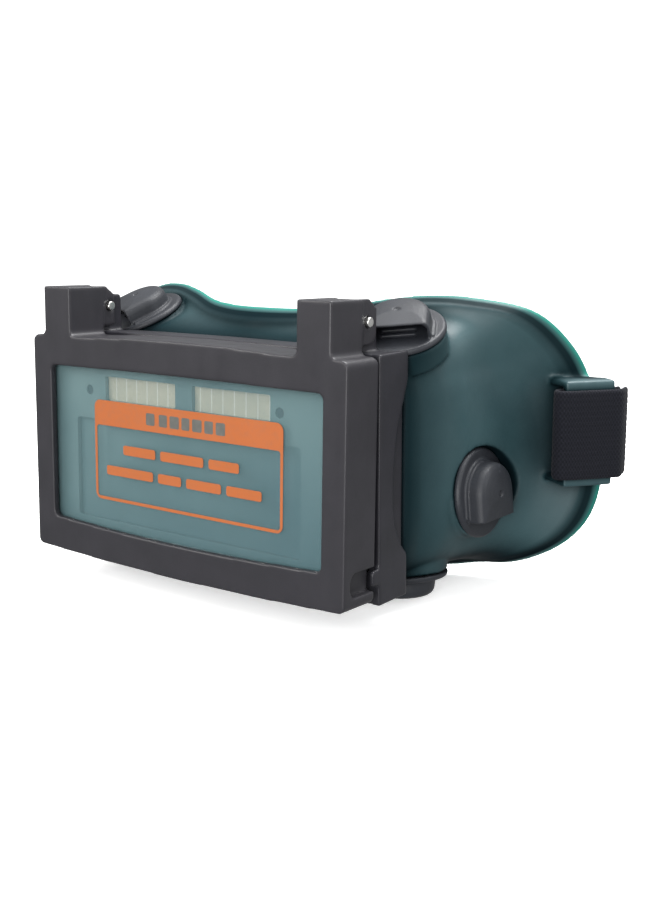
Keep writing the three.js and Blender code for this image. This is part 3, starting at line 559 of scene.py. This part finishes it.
# ---------------------------------------------------------------- the mask's skin
CENTRE_Z = 32.2
NECK = {"y": NECK_Y, "half_width": 57.2, "half_height": 32.0, "power": 7.0}
WALL = 2.2
CREASE = {"inward": 3.4, "forward": 5.6}
RIM_HALF = [
    (0, 38, 73.6), (22, 43, 74.1), (37, 49.5, 76.9), (49, 55, 78.1), (61, 59.5, 77.4), (74, 67, 74),
    (81, 77, 64.3), (84.1, 83, 54.5), (87.4, 86, 38), (87.6, 86, 21), (84.2, 85, 10.6), (77, 83, 2.5),
    (64.2, 80, -4), (53.3, 77, -5.4), (43, 72, -6.8), (32, 65, -5.5), (21, 55, 1.5), (11, 47, 9.5),
    (0, 44, 12.5),
]
SIDE_RUN = [(0, 0), (0.135, 0.01), (0.22, 0.1), (0.31, 0.19), (0.51, 0.25), (0.72, 0.36), (0.865, 0.55),
            (0.952, 0.79), (1, 1)]
PLAIN_RUN = [(0, 0), (0.12, 0.16), (0.3, 0.3), (0.5, 0.42), (0.72, 0.56), (0.865, 0.7), (0.952, 0.86), (1, 1)]

rim_loop = spline(RIM_HALF + [(-x, y, z) for x, y, z in RIM_HALF[-2:0:-1]], True, 40)
rim_angle = np.arctan2(rim_loop[:, 2] - CENTRE_Z, rim_loop[:, 0])
rim_order = np.argsort(rim_angle)
RIM_ANGLES = rim_angle[rim_order]
RIM_RADII = np.hypot(rim_loop[:, 0], rim_loop[:, 2] - CENTRE_Z)[rim_order]
RIM_DEPTHS = rim_loop[rim_order, 1]


def rim_at(angle):
    """Radius and depth of the rim at an angle about the middle."""
    radius = np.interp(angle, RIM_ANGLES, RIM_RADII, period=2 * np.pi)
    return radius, np.interp(angle, RIM_ANGLES, RIM_DEPTHS, period=2 * np.pi)


def neck_radius(angle):
    a, b, n = NECK["half_width"], NECK["half_height"], NECK["power"]
    return (np.abs(np.cos(angle) / a)**n + np.abs(np.sin(angle) / b)**n)**(-1 / n)


def skin(angle, share):
    """Outer skin of the mask: share 0 is the neck, 1 the crease and 2 the edge of the lip."""
    radius, depth = rim_at(angle)
    crease_radius, crease_y = radius - CREASE["inward"], depth - CREASE["forward"]
    neck = neck_radius(angle)
    sideways = 1 - smoothstep(np.abs(np.sin(angle)), 0.36, 0.56)
    wall = min(share, 1.0)
    spread = (1 - sideways) * smooth_run(PLAIN_RUN, wall) + sideways * smooth_run(SIDE_RUN, wall)
    r = neck + (crease_radius - neck) * spread
    y = NECK["y"] + (crease_y - NECK["y"]) * wall
    lip = max(share - 1.0, 0.0)
    r = r + (radius - crease_radius) * lip
    y = y + (depth - crease_y) * lip
    return np.stack([r * np.cos(angle), y, CENTRE_Z + r * np.sin(angle)], -1)


TURNS = 288
ANGLES = -np.linspace(0, 2 * np.pi, TURNS, endpoint=False)
SHARES = np.concatenate([np.linspace(0, 1, 44), np.linspace(1, 2, 9)[1:]])


def skin_grid():
    outer = np.array([skin(ANGLES, s) for s in SHARES])
    along = np.gradient(outer, axis=0)
    around = np.roll(outer, -1, 1) - np.roll(outer, 1, 1)
    normal = np.cross(along, around)
    normal /= np.linalg.norm(normal, axis=2, keepdims=True)
    away = outer - np.array([0, 50, CENTRE_Z])
    normal *= np.sign(np.sum(normal * away, axis=2, keepdims=True).mean())
    return outer, normal


def capped(rings):
    """A closed solid through rings, its ends filled to their middles."""
    count = rings.shape[1]
    points = np.vstack([rings.reshape(-1, 3), rings[0].mean(0)[None], rings[-1].mean(0)[None]])
    faces = ring_faces(len(rings), count, False)
    first, last = len(points) - 2, len(points) - 1
    top = (len(rings) - 1) * count
    for k in range(count):
        k2 = (k + 1) % count
        faces.append((first, k2, k))
        faces.append((last, top + k, top + k2))
    return points, faces


# ---------------------------------------------------------------- vents
VENT = {"flange_radius": 13.0, "flange": 1.6, "reach": 7.2, "hood_wall": 0.9, "lip_wall": 0.6, "spigot": 7.6,
        "spigot_wall": 1.3, "spigot_depth": 4.2, "ring_outer": 11.4, "seat_radius": 12.8, "seat_depth": 7.0,
        "collar_radius": 14.4}
HOOD = [(9.1, 0.8), (9.05, 3.4), (8.95, 4.8), (8.7, 5.6), (8.25, 6.3), (7.4, 6.85), (6.2, 7.15), (4.4, 7.42),
        (2.2, 7.57), (0.6, 7.6)]
HOOD_TOP = 7.6
LIP = {"height": 6.6, "slope_from": 1.0}
SLIT = {"width": 1.3, "length": 9.4, "pitch": 3.0, "count": 4}
SEATS = {
    "top": ((49.2, 37.3, 68.8), (0.114, -0.404, 0.908), (0.45, -0.89, 0.0)),
    "side": ((63.6, 57.0, 22.2), (0.995, -0.025, 0.095), (0.0, 0.0, -1.0)),
    "bottom": ((45.0, 46.5, -1.9), (0.1, -0.06, -0.993), (-0.5, 0.87, 0.0)),
}


def seat_axes(place, side):
    """Centre, and the directions across the hood, outwards, and back from its mouth."""
    at, out, mouth = (np.array(v, float) * (side, 1, 1) for v in SEATS[place])
    out /= np.linalg.norm(out)
    mouth -= out * (mouth @ out)
    mouth /= np.linalg.norm(mouth)
    return at, np.cross(out, -mouth), out, -mouth


def on_seat(points, place, side):
    at, across, out, back = seat_axes(place, side)
    p = np.array(points, float)
    return at + p[:, :1] * across + p[:, 1:2] * out + p[:, 2:] * back


VENTS = [(place, side) for place in SEATS for side in (-1, 1)]
SIDE_NAMES = {-1: "left", 1: "right"}


def drum(radius, low, high, place, side):
    points, faces = revolved([(0, low), (radius, low), (radius, high), (0, high)])
    return solid(on_seat(points, place, side), faces)


def hood_outline(half, reach, segments=28):
    bend = np.linspace(0, np.pi, segments)
    return [(-half, -reach), (half, -reach)] + [(half * math.cos(a), half * math.sin(a)) for a in bend]


def hood_stack(layers, reach):
    """A closed stack of hood plans, each at its own half width and height."""
    rings = [np.array([(x, height, back) for x, back in hood_outline(half, reach)]) for half, height in layers]
    return capped(np.array(rings))


def box_solid(low, high):
    points = [(x, y, z) for x in (low[0], high[0]) for y in (low[1], high[1]) for z in (low[2], high[2])]
    faces = [(0, 1, 3, 2), (4, 6, 7, 5), (0, 4, 5, 1), (2, 3, 7, 6), (0, 2, 6, 4), (1, 5, 7, 3)]
    return solid(points, faces)


def vent_cap_mesh():
    """The cap in its own axes: x across, y outwards, z back from the mouth."""
    v = VENT
    r, flange = v["flange_radius"], v["flange"]
    disc = revolved([(0, 0), (r - 0.1, 0), (r, 0.4), (r - 0.1, 0.9), (r - 0.6, flange), (0, flange)])
    neck = revolved([(0, -v["spigot_depth"]), (v["spigot"], -v["spigot_depth"]), (v["spigot"], 0.6), (0, 0.6)])
    foot = prism(hood_outline(HOOD[0][0] + 0.9, v["reach"] - 1.0), 0.8, flange + 0.55)
    inside, ceiling = HOOD[0][0] - v["hood_wall"], LIP["height"] - v["lip_wall"]
    mouth = hood_stack([(inside, flange), (inside, ceiling - 1.2), (inside - 1.2, ceiling)], 20.0)
    bore_radius = v["spigot"] - v["spigot_wall"]
    bore = revolved([(0, -10), (bore_radius, -10), (bore_radius, 0.3), (0, 0.3)])
    reach, above = v["reach"], HOOD_TOP + 4
    past, aside = reach + 8, 20
    slope = np.array([
        (-aside, LIP["height"], -past), (-aside, LIP["height"], -reach), (-aside, HOOD_TOP, -LIP["slope_from"]),
        (-aside, above, -LIP["slope_from"]), (-aside, above, -past),
    ])
    wedge = np.vstack([slope, slope + (2 * aside, 0, 0)])
    wedge_faces = [(k, (k + 1) % 5, 5 + (k + 1) % 5, 5 + k) for k in range(5)]
    wedge_faces += [(4, 3, 2, 1, 0), (5, 6, 7, 8, 9)]
    cone = [(0, HOOD_TOP - 0.55), (0.9, HOOD_TOP - 0.45), (1.2, HOOD_TOP + 1), (0, HOOD_TOP + 1)]
    dimple = revolved(cone, 24)
    slits = []
    for k in range(SLIT["count"]):
        z = (k - (SLIT["count"] - 1) / 2) * SLIT["pitch"]
        low = (-SLIT["length"] / 2, -2.0, z - SLIT["width"] / 2)
        slits.append(box_solid(low, (-low[0], 4.0, z + SLIT["width"] / 2)))
    body = combined(solid(*disc), [solid(*neck), solid(*foot), solid(*hood_stack(HOOD, reach))], "UNION")
    cuts = [solid(*mouth), solid(*bore), solid(wedge, wedge_faces), solid(*dimple)]
    return softened(combined(body, cuts + slits, "DIFFERENCE"), 0.22, 5)


def add_vents():
    """The same cap six times, each turned to its seat, mirrored on the left."""
    cap = vent_cap_mesh()
    home = np.empty(len(cap.vertices) * 3)
    cap.vertices.foreach_get("co", home)
    home = (home.reshape(-1, 3) - np.array(ORIGIN)) / MM
    for place, side in VENTS:
        name = f"vent_cap_{place}_{SIDE_NAMES[side]}"
        mesh = cap.copy()
        mesh.vertices.foreach_set("co", placed(on_seat(home, place, side)).ravel())
        if np.linalg.det(np.array(seat_axes(place, side)[1:])) < 0:
            mesh.flip_normals()
        piece = add_object(name + "_shape", mesh, VENT_BLACK, "mask")
        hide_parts(name)
        paint(f"vent_ring_{place}_{SIDE_NAMES[side]}", CLIP_BLACK)


# ---------------------------------------------------------------- the mask
LUG = {"front": (83.6, 69.4), "rear": (93.1, 80.9), "thick": 2.4, "low": 24.2, "high": 54.6, "web": 2.0}
lug_front, lug_rear = np.array(LUG["front"]), np.array(LUG["rear"])
LUG_LENGTH = float(np.linalg.norm(lug_rear - lug_front))
LUG_ALONG = (lug_rear - lug_front) / LUG_LENGTH
LUG_OUT = np.array([LUG_ALONG[1], -LUG_ALONG[0]])


def upright_prism(plan, low, high, side):
    flat = np.array(plan, float) * (side, 1)
    n = len(flat)
    points = np.vstack([np.column_stack([flat, np.full(n, h)]) for h in (low, high)])
    faces = [(k, (k + 1) % n, n + (k + 1) % n, n + k) for k in range(n)]
    faces += [tuple(range(n - 1, -1, -1)), tuple(range(n, 2 * n))]
    return solid(points, faces)


def lug_solids(side):
    """A plate standing off the wall, with a web above and one below the band."""
    half = LUG["thick"] / 2

    def at(start, forward, out):
        return start + LUG_ALONG * forward + LUG_OUT * out

    plate = [at(lug_front, 0, -half), at(lug_front, 0, half), at(lug_rear, 0, half), at(lug_rear, 0, -half)]
    web = [at(lug_front, -1, -12), at(lug_front, 0, half), at(lug_rear, 0, half), at(lug_rear, 0, -4.2),
           at(lug_rear, -5, -9)]
    return [
        upright_prism(plate, LUG["low"], LUG["high"], side),
        upright_prism(web, LUG["low"], LUG["low"] + LUG["web"], side),
        upright_prism(web, LUG["high"] - LUG["web"], LUG["high"], side),
    ]


def add_mask():
    """The wall and its lip, with seats for the vents and the strap lugs, cut back where other pieces go."""
    outer, normal = skin_grid()
    inner = outer - normal * WALL
    rearward = outer[-1] - outer[-2]
    rearward /= np.linalg.norm(rearward, axis=1, keepdims=True)
    middle = (outer[-1] + inner[-1]) / 2
    bends = np.radians([60, 30, 0, -30, -60])
    lip = [middle + normal[-1] * (WALL / 2 * math.sin(b)) + rearward * (0.9 * math.cos(b)) for b in bends]
    shell = np.vstack([outer, lip, inner[::-1]])
    body = solid(shell.reshape(-1, 3), ring_faces(len(shell), TURNS, True))
    filled = solid(*capped(outer))
    room = solid(*capped(outer - normal * (WALL - 0.4)))
    v = VENT
    pads = [drum(v["seat_radius"], -WALL, 0, *vent) for vent in VENTS]
    collars = [combined(drum(v["collar_radius"], -WALL, 14, *vent), [filled.copy()], "INTERSECT")
               for vent in VENTS]
    bosses = [combined(drum(v["seat_radius"], -v["seat_depth"], 0, *vent), [room.copy()], "DIFFERENCE")
              for vent in VENTS]
    lugs = [combined(part, [room.copy()], "DIFFERENCE") for side in (-1, 1) for part in lug_solids(side)]
    body = combined(body, pads + bosses + collars + lugs, "UNION")
    cuts = []
    for vent in VENTS:
        cuts.append(drum(v["flange_radius"] + GAP, -GAP, 16, *vent))
        cuts.append(drum(v["spigot"] + GAP, -9, 2, *vent))
        cuts.append(drum(v["ring_outer"] + GAP, -WALL - 4, -WALL + GAP, *vent))
    wide, holder_back = 90, NECK_Y - 0.25
    front = np.array([(-wide, 0, -30), (wide, 0, -30), (wide, holder_back, -30), (-wide, holder_back, -30)], float)
    block = np.vstack([front, front + (0, 0, 130)])
    block_faces = [(3, 2, 1, 0), (4, 5, 6, 7), (0, 1, 5, 4), (1, 2, 6, 5), (2, 3, 7, 6), (3, 0, 4, 7)]
    cuts.append(solid(block, block_faces))
    body = combined(body, cuts, "DIFFERENCE")
    mesh = softened(body, 0.5, 10)
    piece = add_object("mask_shape", mesh, MASK_GREEN, "mask")
    mark_rim(mesh)
    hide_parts("mask_body")


def mark_rim(mesh):
    """How far each point is from the rim's thin edge, in millimetres."""
    co = np.empty(len(mesh.vertices) * 3)
    mesh.vertices.foreach_get("co", co)
    p = (co.reshape(-1, 3) - np.array(ORIGIN)) / MM
    up = p[:, 2] - CENTRE_Z
    radius, depth = rim_at(np.arctan2(up, p[:, 0]))
    away = np.hypot(np.hypot(p[:, 0], up) - radius, p[:, 1] - depth)
    mark = mesh.attributes.new("edge_mm", "FLOAT", "POINT")
    mark.data.foreach_set("value", away)


# ---------------------------------------------------------------- the head band
STRAP = {
    "width": 25.6, "thick": 1.6, "mid_z": 39.35, "drop": 3.5, "drop_from": 84.0, "drop_to": 102.0, "sag": 6.0,
    "reach": 178.0,
}
BEHIND_LUG = {
    "inner": (92.4, 84.2), "outer": (94.6, 85.1), "inner_next": (91.2, 88.2), "outer_next": (93.0, 89.4),
}
RUN_FROM = np.array((84.6, 96.7))  # start of the straight run behind the lug, in plan
RUN_WAY = np.array((-0.63, 0.775))
RUN_LENGTH = 40.0
LOOSE_GAP = 3.8  # how far the loose end lies outside the run
WRAP = LUG["thick"] / 2 + STRAP["thick"] / 2 + 0.35
RIBS = 15


def by_lug(forward, out):
    return lug_front + LUG_ALONG * forward + LUG_OUT * out


def on_run(forward, out):
    return RUN_FROM + RUN_WAY * forward + np.array([RUN_WAY[1], -RUN_WAY[0]]) * out


def band_route():
    """The band's middle line in plan, from its sewn end to its loose end."""
    flip = np.array([-1.0, 1.0])
    around = [by_lug(*at) for at in (
        (LUG_LENGTH + 1, WRAP * 0.95), (LUG_LENGTH - 2, WRAP), (10, WRAP), (1, WRAP), (-1.6, WRAP * 0.72),
        (-2.4, 0), (-1.6, -WRAP * 0.72), (1, -WRAP), (10, -WRAP), (LUG_LENGTH - 1, -WRAP))]
    turn = {name: np.array(at) for name, at in BEHIND_LUG.items()}
    around.append(turn["inner"])
    sewn = [on_run(4, 2.1), on_run(-4, 2.2), turn["outer_next"], turn["outer"]]
    run = [turn["inner_next"]] + [on_run(at, 0) for at in (-3, 4, 12, 20, 30, RUN_LENGTH)]
    half = [(46.5, 142), (33, 160), (16, 173.5)]
    back = half + [(0, STRAP["reach"])] + [(-x, y) for x, y in half[::-1]]
    loose = [turn["outer"], turn["outer_next"], on_run(-3, 3.1)]
    loose += [on_run(at, LOOSE_GAP) for at in (4, 8, 12, 20, 28, 36)]
    route = sewn + around + run + [np.array(p, float) for p in back]
    route += [p * flip for p in run[::-1]] + [p * flip for p in around[::-1]] + [p * flip for p in loose]
    return route


def add_band():
    """One long ribbed strip along the route, lower where it leaves the lugs and lowest behind the head."""
    line = spline(np.array([(x, y, 0) for x, y in band_route()]), False, 10)
    way = np.gradient(line, axis=0)
    way /= np.linalg.norm(way, axis=1, keepdims=True)
    out = np.stack([way[:, 1], -way[:, 0], np.zeros(len(way))], 1)
    length = np.concatenate([[0], np.cumsum(np.linalg.norm(np.diff(line, axis=0), axis=1))])
    droop = STRAP["drop"] * smoothstep(line[:, 1], STRAP["drop_from"], STRAP["drop_to"])
    droop += STRAP["sag"] * smoothstep(line[:, 1], on_run(RUN_LENGTH, 0)[1], STRAP["reach"])
    per_side = RIBS * 4 + 1
    up = np.linspace(-1, 1, per_side)
    swell = 0.10 * np.abs(np.sin(np.pi * RIBS * (up + 1) / 2))**0.7
    edge = np.sqrt(np.clip(1 - np.abs(up)**14, 0, 1))
    half = (STRAP["thick"] / 2 - 0.12 + swell) * (0.45 + 0.55 * edge)
    section = np.concatenate([np.stack([half, up], 1), np.stack([-half[::-1], up[::-1]], 1)])
    count = len(section)
    height = section[:, 1] * (STRAP["width"] / 2 - 0.1)
    rings = (line[:, None, :] + out[:, None, :] * section[None, :, :1])
    rings[..., 2] += STRAP["mid_z"] - droop[:, None] + height[None, :]
    faces = ring_faces(len(rings), count, False)
    faces += [tuple(range(count - 1, -1, -1)), tuple(range((len(rings) - 1) * count, len(rings) * count))]
    mesh = mesh_from("band", rings.reshape(-1, 3), faces)
    outward(mesh)
    ends = np.array([loop.vertex_index for loop in mesh.loops])
    uv = np.stack([length[ends // count] * MM, height[ends % count] * MM], 1)
    mesh.uv_layers.new(name="UVMap").uv.foreach_set("vector", uv.ravel())
    piece = add_object("band_shape", mesh, BAND, "mask")
    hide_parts("strap")


# ---------------------------------------------------------------- film and label
FILM_Y = 2.52  # bench y of the front of the printed sheet
SHEET = 0.05
INK_PROUD = 0.03
FILM = {"inset": 0.5, "low": 7.9, "high": 58.1, "behind": 0.18, "thick": 0.06, "lifted_below": 15.0}


def rounded_plate(x0, x1, z0, z1, corner, steps=8):
    points = []
    corners = ((x1 - corner, z0 + corner, -90), (x1 - corner, z1 - corner, 0), (x0 + corner, z1 - corner, 90),
               (x0 + corner, z0 + corner, 180))
    for cx, cz, start in corners:
        for a in np.radians(np.linspace(start, start + 90, steps)):
            points.append((cx + corner * math.cos(a), cz + corner * math.sin(a)))
    return points


def front_sheet(outline, front, back, hole=None):
    """A thin plate on the shut filter frame, with an optional hole that has as many points."""
    outer = np.array(outline)
    n = len(outer)
    loops = [outer] if hole is None else [outer, np.array(hole)]
    points = np.vstack([
        np.column_stack([loop[:, 0], np.full(n, y), loop[:, 1]]) for y in (front, back) for loop in loops
    ])
    k = len(loops)
    faces = []
    for i in range(n):
        j = (i + 1) % n
        faces.append((i, j, k * n + j, k * n + i))
        if hole is not None:
            faces.append((n + j, n + i, 3 * n + i, 3 * n + j))
            faces.append((j, i, n + i, n + j))
            faces.append((2 * n + i, 2 * n + j, 3 * n + j, 3 * n + i))
    if hole is None:
        faces += [tuple(range(n - 1, -1, -1)), tuple(range(n, 2 * n))]
    return outward(mesh_from("sheet", tilted(points), faces, smooth=False))


def add_film():
    """The peel-off film, rippled where it has lifted along its bottom edge."""
    half = FILTER["width"] / 2 - FILM["inset"]
    low, high = FILM["low"], FILM["high"]
    columns, rows = 120, 56
    x, z = np.meshgrid(np.linspace(-half, half, columns), np.linspace(low, high, rows))
    lift = smoothstep(FILM["lifted_below"] - z, 0, 6)
    ripple = 0.09 * np.sin(x * 0.33 + z * 0.4) + 0.06 * np.sin(x * 0.71 + 1.3)
    y = FILM_Y + FILM["behind"] + lift * ripple
    front = np.stack([x, y, z], -1).reshape(-1, 3)
    points = np.vstack([front, front + (0, FILM["thick"], 0)])
    n = rows * columns
    faces = []
    for r in range(rows - 1):
        for c in range(columns - 1):
            a, b = r * columns + c, (r + 1) * columns + c
            faces.append((a, a + 1, b + 1, b))
            faces.append((n + a, n + b, n + b + 1, n + a + 1))
    border = [c for c in range(columns)] + [r * columns + columns - 1 for r in range(1, rows)]
    border += [(rows - 1) * columns + c for c in range(columns - 2, -1, -1)]
    border += [r * columns for r in range(rows - 2, 0, -1)]
    faces += [(border[i], n + border[i], n + border[(i + 1) % len(border)], border[(i + 1) % len(border)])
              for i in range(len(border))]
    mesh = outward(mesh_from("film", tilted(points), faces))
    piece = add_object("film_shape", mesh, FILM_HAZE, "front")
    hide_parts("protective_film")


LABEL = {"left": -35.0, "right": 36.6, "low": 17.3, "high": 47.0, "corner": 2.2, "line": 0.9, "band_low": 39.6}
HEADER = {"low": 41.4, "high": 44.9, "shift": 3.0, "corner": 0.5}
HEADER_BARS = [(-17.5, 3.4), (-12.4, 3.2), (-8.2, 3.6), (-3.6, 3.0), (0.4, 3.6), (5.0, 3.2), (9.2, 3.4)]
BAR = {"half_height": 1.4, "gap": 2.0, "corner": 0.7}
BAR_ROWS = [(33.0, -24.0, (13.0, 16.5, 11.0)), (26.4, -31.0, (19.0, 9.0, 13.0, 12.5))]


def add_label():
    """A generic printed notice: a frame, a header band and plain bars where wording would be."""
    front, back = FILM_Y, FILM_Y + SHEET
    b, line = LABEL, LABEL["line"]
    outer = rounded_plate(b["left"], b["right"], b["low"], b["high"], b["corner"])
    inner = rounded_plate(b["left"] + line, b["right"] - line, b["low"] + line, b["band_low"], 0.9)
    add_object("label_frame", front_sheet(outer, front, back, inner), ORANGE, "front")
    middle = (b["left"] + b["right"]) / 2
    for number, (x, wide) in enumerate(HEADER_BARS):
        start = middle + x + HEADER["shift"]
        plate = rounded_plate(start, start + wide, HEADER["low"], HEADER["high"], HEADER["corner"])
        sheet = front_sheet(plate, front - INK_PROUD, front - INK_PROUD / 3)
        add_object(f"label_header_{number}", sheet, LABEL_GREY, "front")
    half = BAR["half_height"]
    for row, (z, start, widths) in enumerate(BAR_ROWS):
        x = middle + start
        for number, wide in enumerate(widths):
            plate = rounded_plate(x, x + wide, z - half, z + half, BAR["corner"])
            add_object(f"label_bar_{row}_{number}", front_sheet(plate, front, back), ORANGE, "front")
            x += wide + BAR["gap"]


# ---------------------------------------------------------------- making everything
add_mask()
add_vents()
add_band()
add_film()
add_label()

mould("flip_frame", "front", FRAME_BLACK, upright=True)
dress("filter_case", "front", CASE_TEAL, 0.15)
dress("filter_back", "front", FRAME_BLACK, 0.3)
dress("filter_retainer", "front", FRAME_BLACK, 0.3)
mould("lens_holder", "mask", HOLDER_BLACK)
dress("lens_retainer", "mask", HOLDER_BLACK, 0.15)
dress("hinge_pin_left", "mask", STEEL, 0.3)
dress("hinge_pin_right", "mask", STEEL, 0.3)
dress("strap_slider", "slider", CLIP_BLACK, 0.4)
paint("cover_lens", COVER_PANE)
paint("clear_lens", LENS_PANE)
paint("lens_gasket", GASKET)
paint("shutter_glass", SHUTTER)
paint("solar_cell_left", SOLAR)
paint("solar_cell_right", SOLAR)
paint("light_sensor_left", SENSOR)
paint("light_sensor_right", SENSOR)
paint("filter_board", BOARD)


# ---------------------------------------------------------------- floor and light
def add_floor():
    """A pale floor that the camera sees and shadows fall on, but that casts no light on the goggles."""
    mesh = bpy.data.meshes.new("floor")
    reach = 3.0
    corners = [(-reach, -reach, 0), (reach, -reach, 0), (reach, reach, 0), (-reach, reach, 0)]
    mesh.from_pydata(corners, [], [(0, 1, 2, 3)])
    s = Shader("floor")
    s.set(Base_Color=s.mix(s.noise(3.0), colour(0.9, 0.9, 0.9), colour(0.92, 0.92, 0.92)), Roughness=0.9)
    s.set(Emission_Color=colour(1.0, 1.0, 1.0), Emission_Strength=0.5)
    mesh.materials.append(s.material)
    floor = bpy.data.objects.new("floor", mesh)
    bpy.context.scene.collection.objects.link(floor)
    floor.visible_diffuse = False
    floor.visible_glossy = False


def aimed(name, data, at, aim):
    """A light in the scene, pointed at a spot."""
    light = bpy.data.objects.new(name, data)
    bpy.context.scene.collection.objects.link(light)
    light.location = at
    light.rotation_euler = (Vector(aim) - Vector(at)).to_track_quat("-Z", "Y").to_euler()


def add_lamp(name, at, aim, size, power, tint=(1.0, 1.0, 1.0)):
    data = bpy.data.lights.new(name, "AREA")
    data.shape = "DISK"
    data.size = size
    data.energy = power
    data.color = tint
    aimed(name, data, at, aim)


def add_sky_panel(at, spread, strength):
    """A broad, even light from overhead."""
    data = bpy.data.lights.new("overhead", "SUN")
    data.angle = math.radians(spread)
    data.energy = strength
    aimed("overhead", data, at, (0, 0, 0))


def add_world(seen, lighting):
    """A white studio: bright where it is looked at, dimmer as a source of light."""
    world = bpy.data.worlds.new("studio")
    world.use_nodes = True
    nodes, links = world.node_tree.nodes, world.node_tree.links
    looked_at = nodes.new("ShaderNodeLightPath").outputs["Is Camera Ray"]
    strength = nodes.new("ShaderNodeMapRange")
    links.new(looked_at, strength.inputs["Value"])
    strength.inputs["To Min"].default_value = lighting
    strength.inputs["To Max"].default_value = seen
    background = nodes["Background"]
    background.inputs["Color"].default_value = (0.98, 0.99, 1.0, 1.0)
    links.new(strength.outputs["Result"], background.inputs["Strength"])
    bpy.context.scene.world = world


add_floor()
add_world(1.15, 0.5)
add_sky_panel((-0.10, -0.12, 1.0), 60.0, 2.2)
add_lamp("key", (-0.30, -0.42, 0.34), (-0.02, -0.08, 0.05), 0.3, 2.6, (1.0, 0.985, 0.96))
add_lamp("over", (0.12, 0.14, 0.55), (0.03, -0.01, 0.07), 0.35, 6.0)
add_lamp("fill", (0.30, -0.60, 0.14), (0.05, 0.0, 0.04), 0.4, 5.0)
add_lamp("side", (0.55, 0.08, 0.26), (0.05, 0.0, 0.04), 0.35, 1.0)
bpy.context.scene.view_settings.view_transform = "Standard"
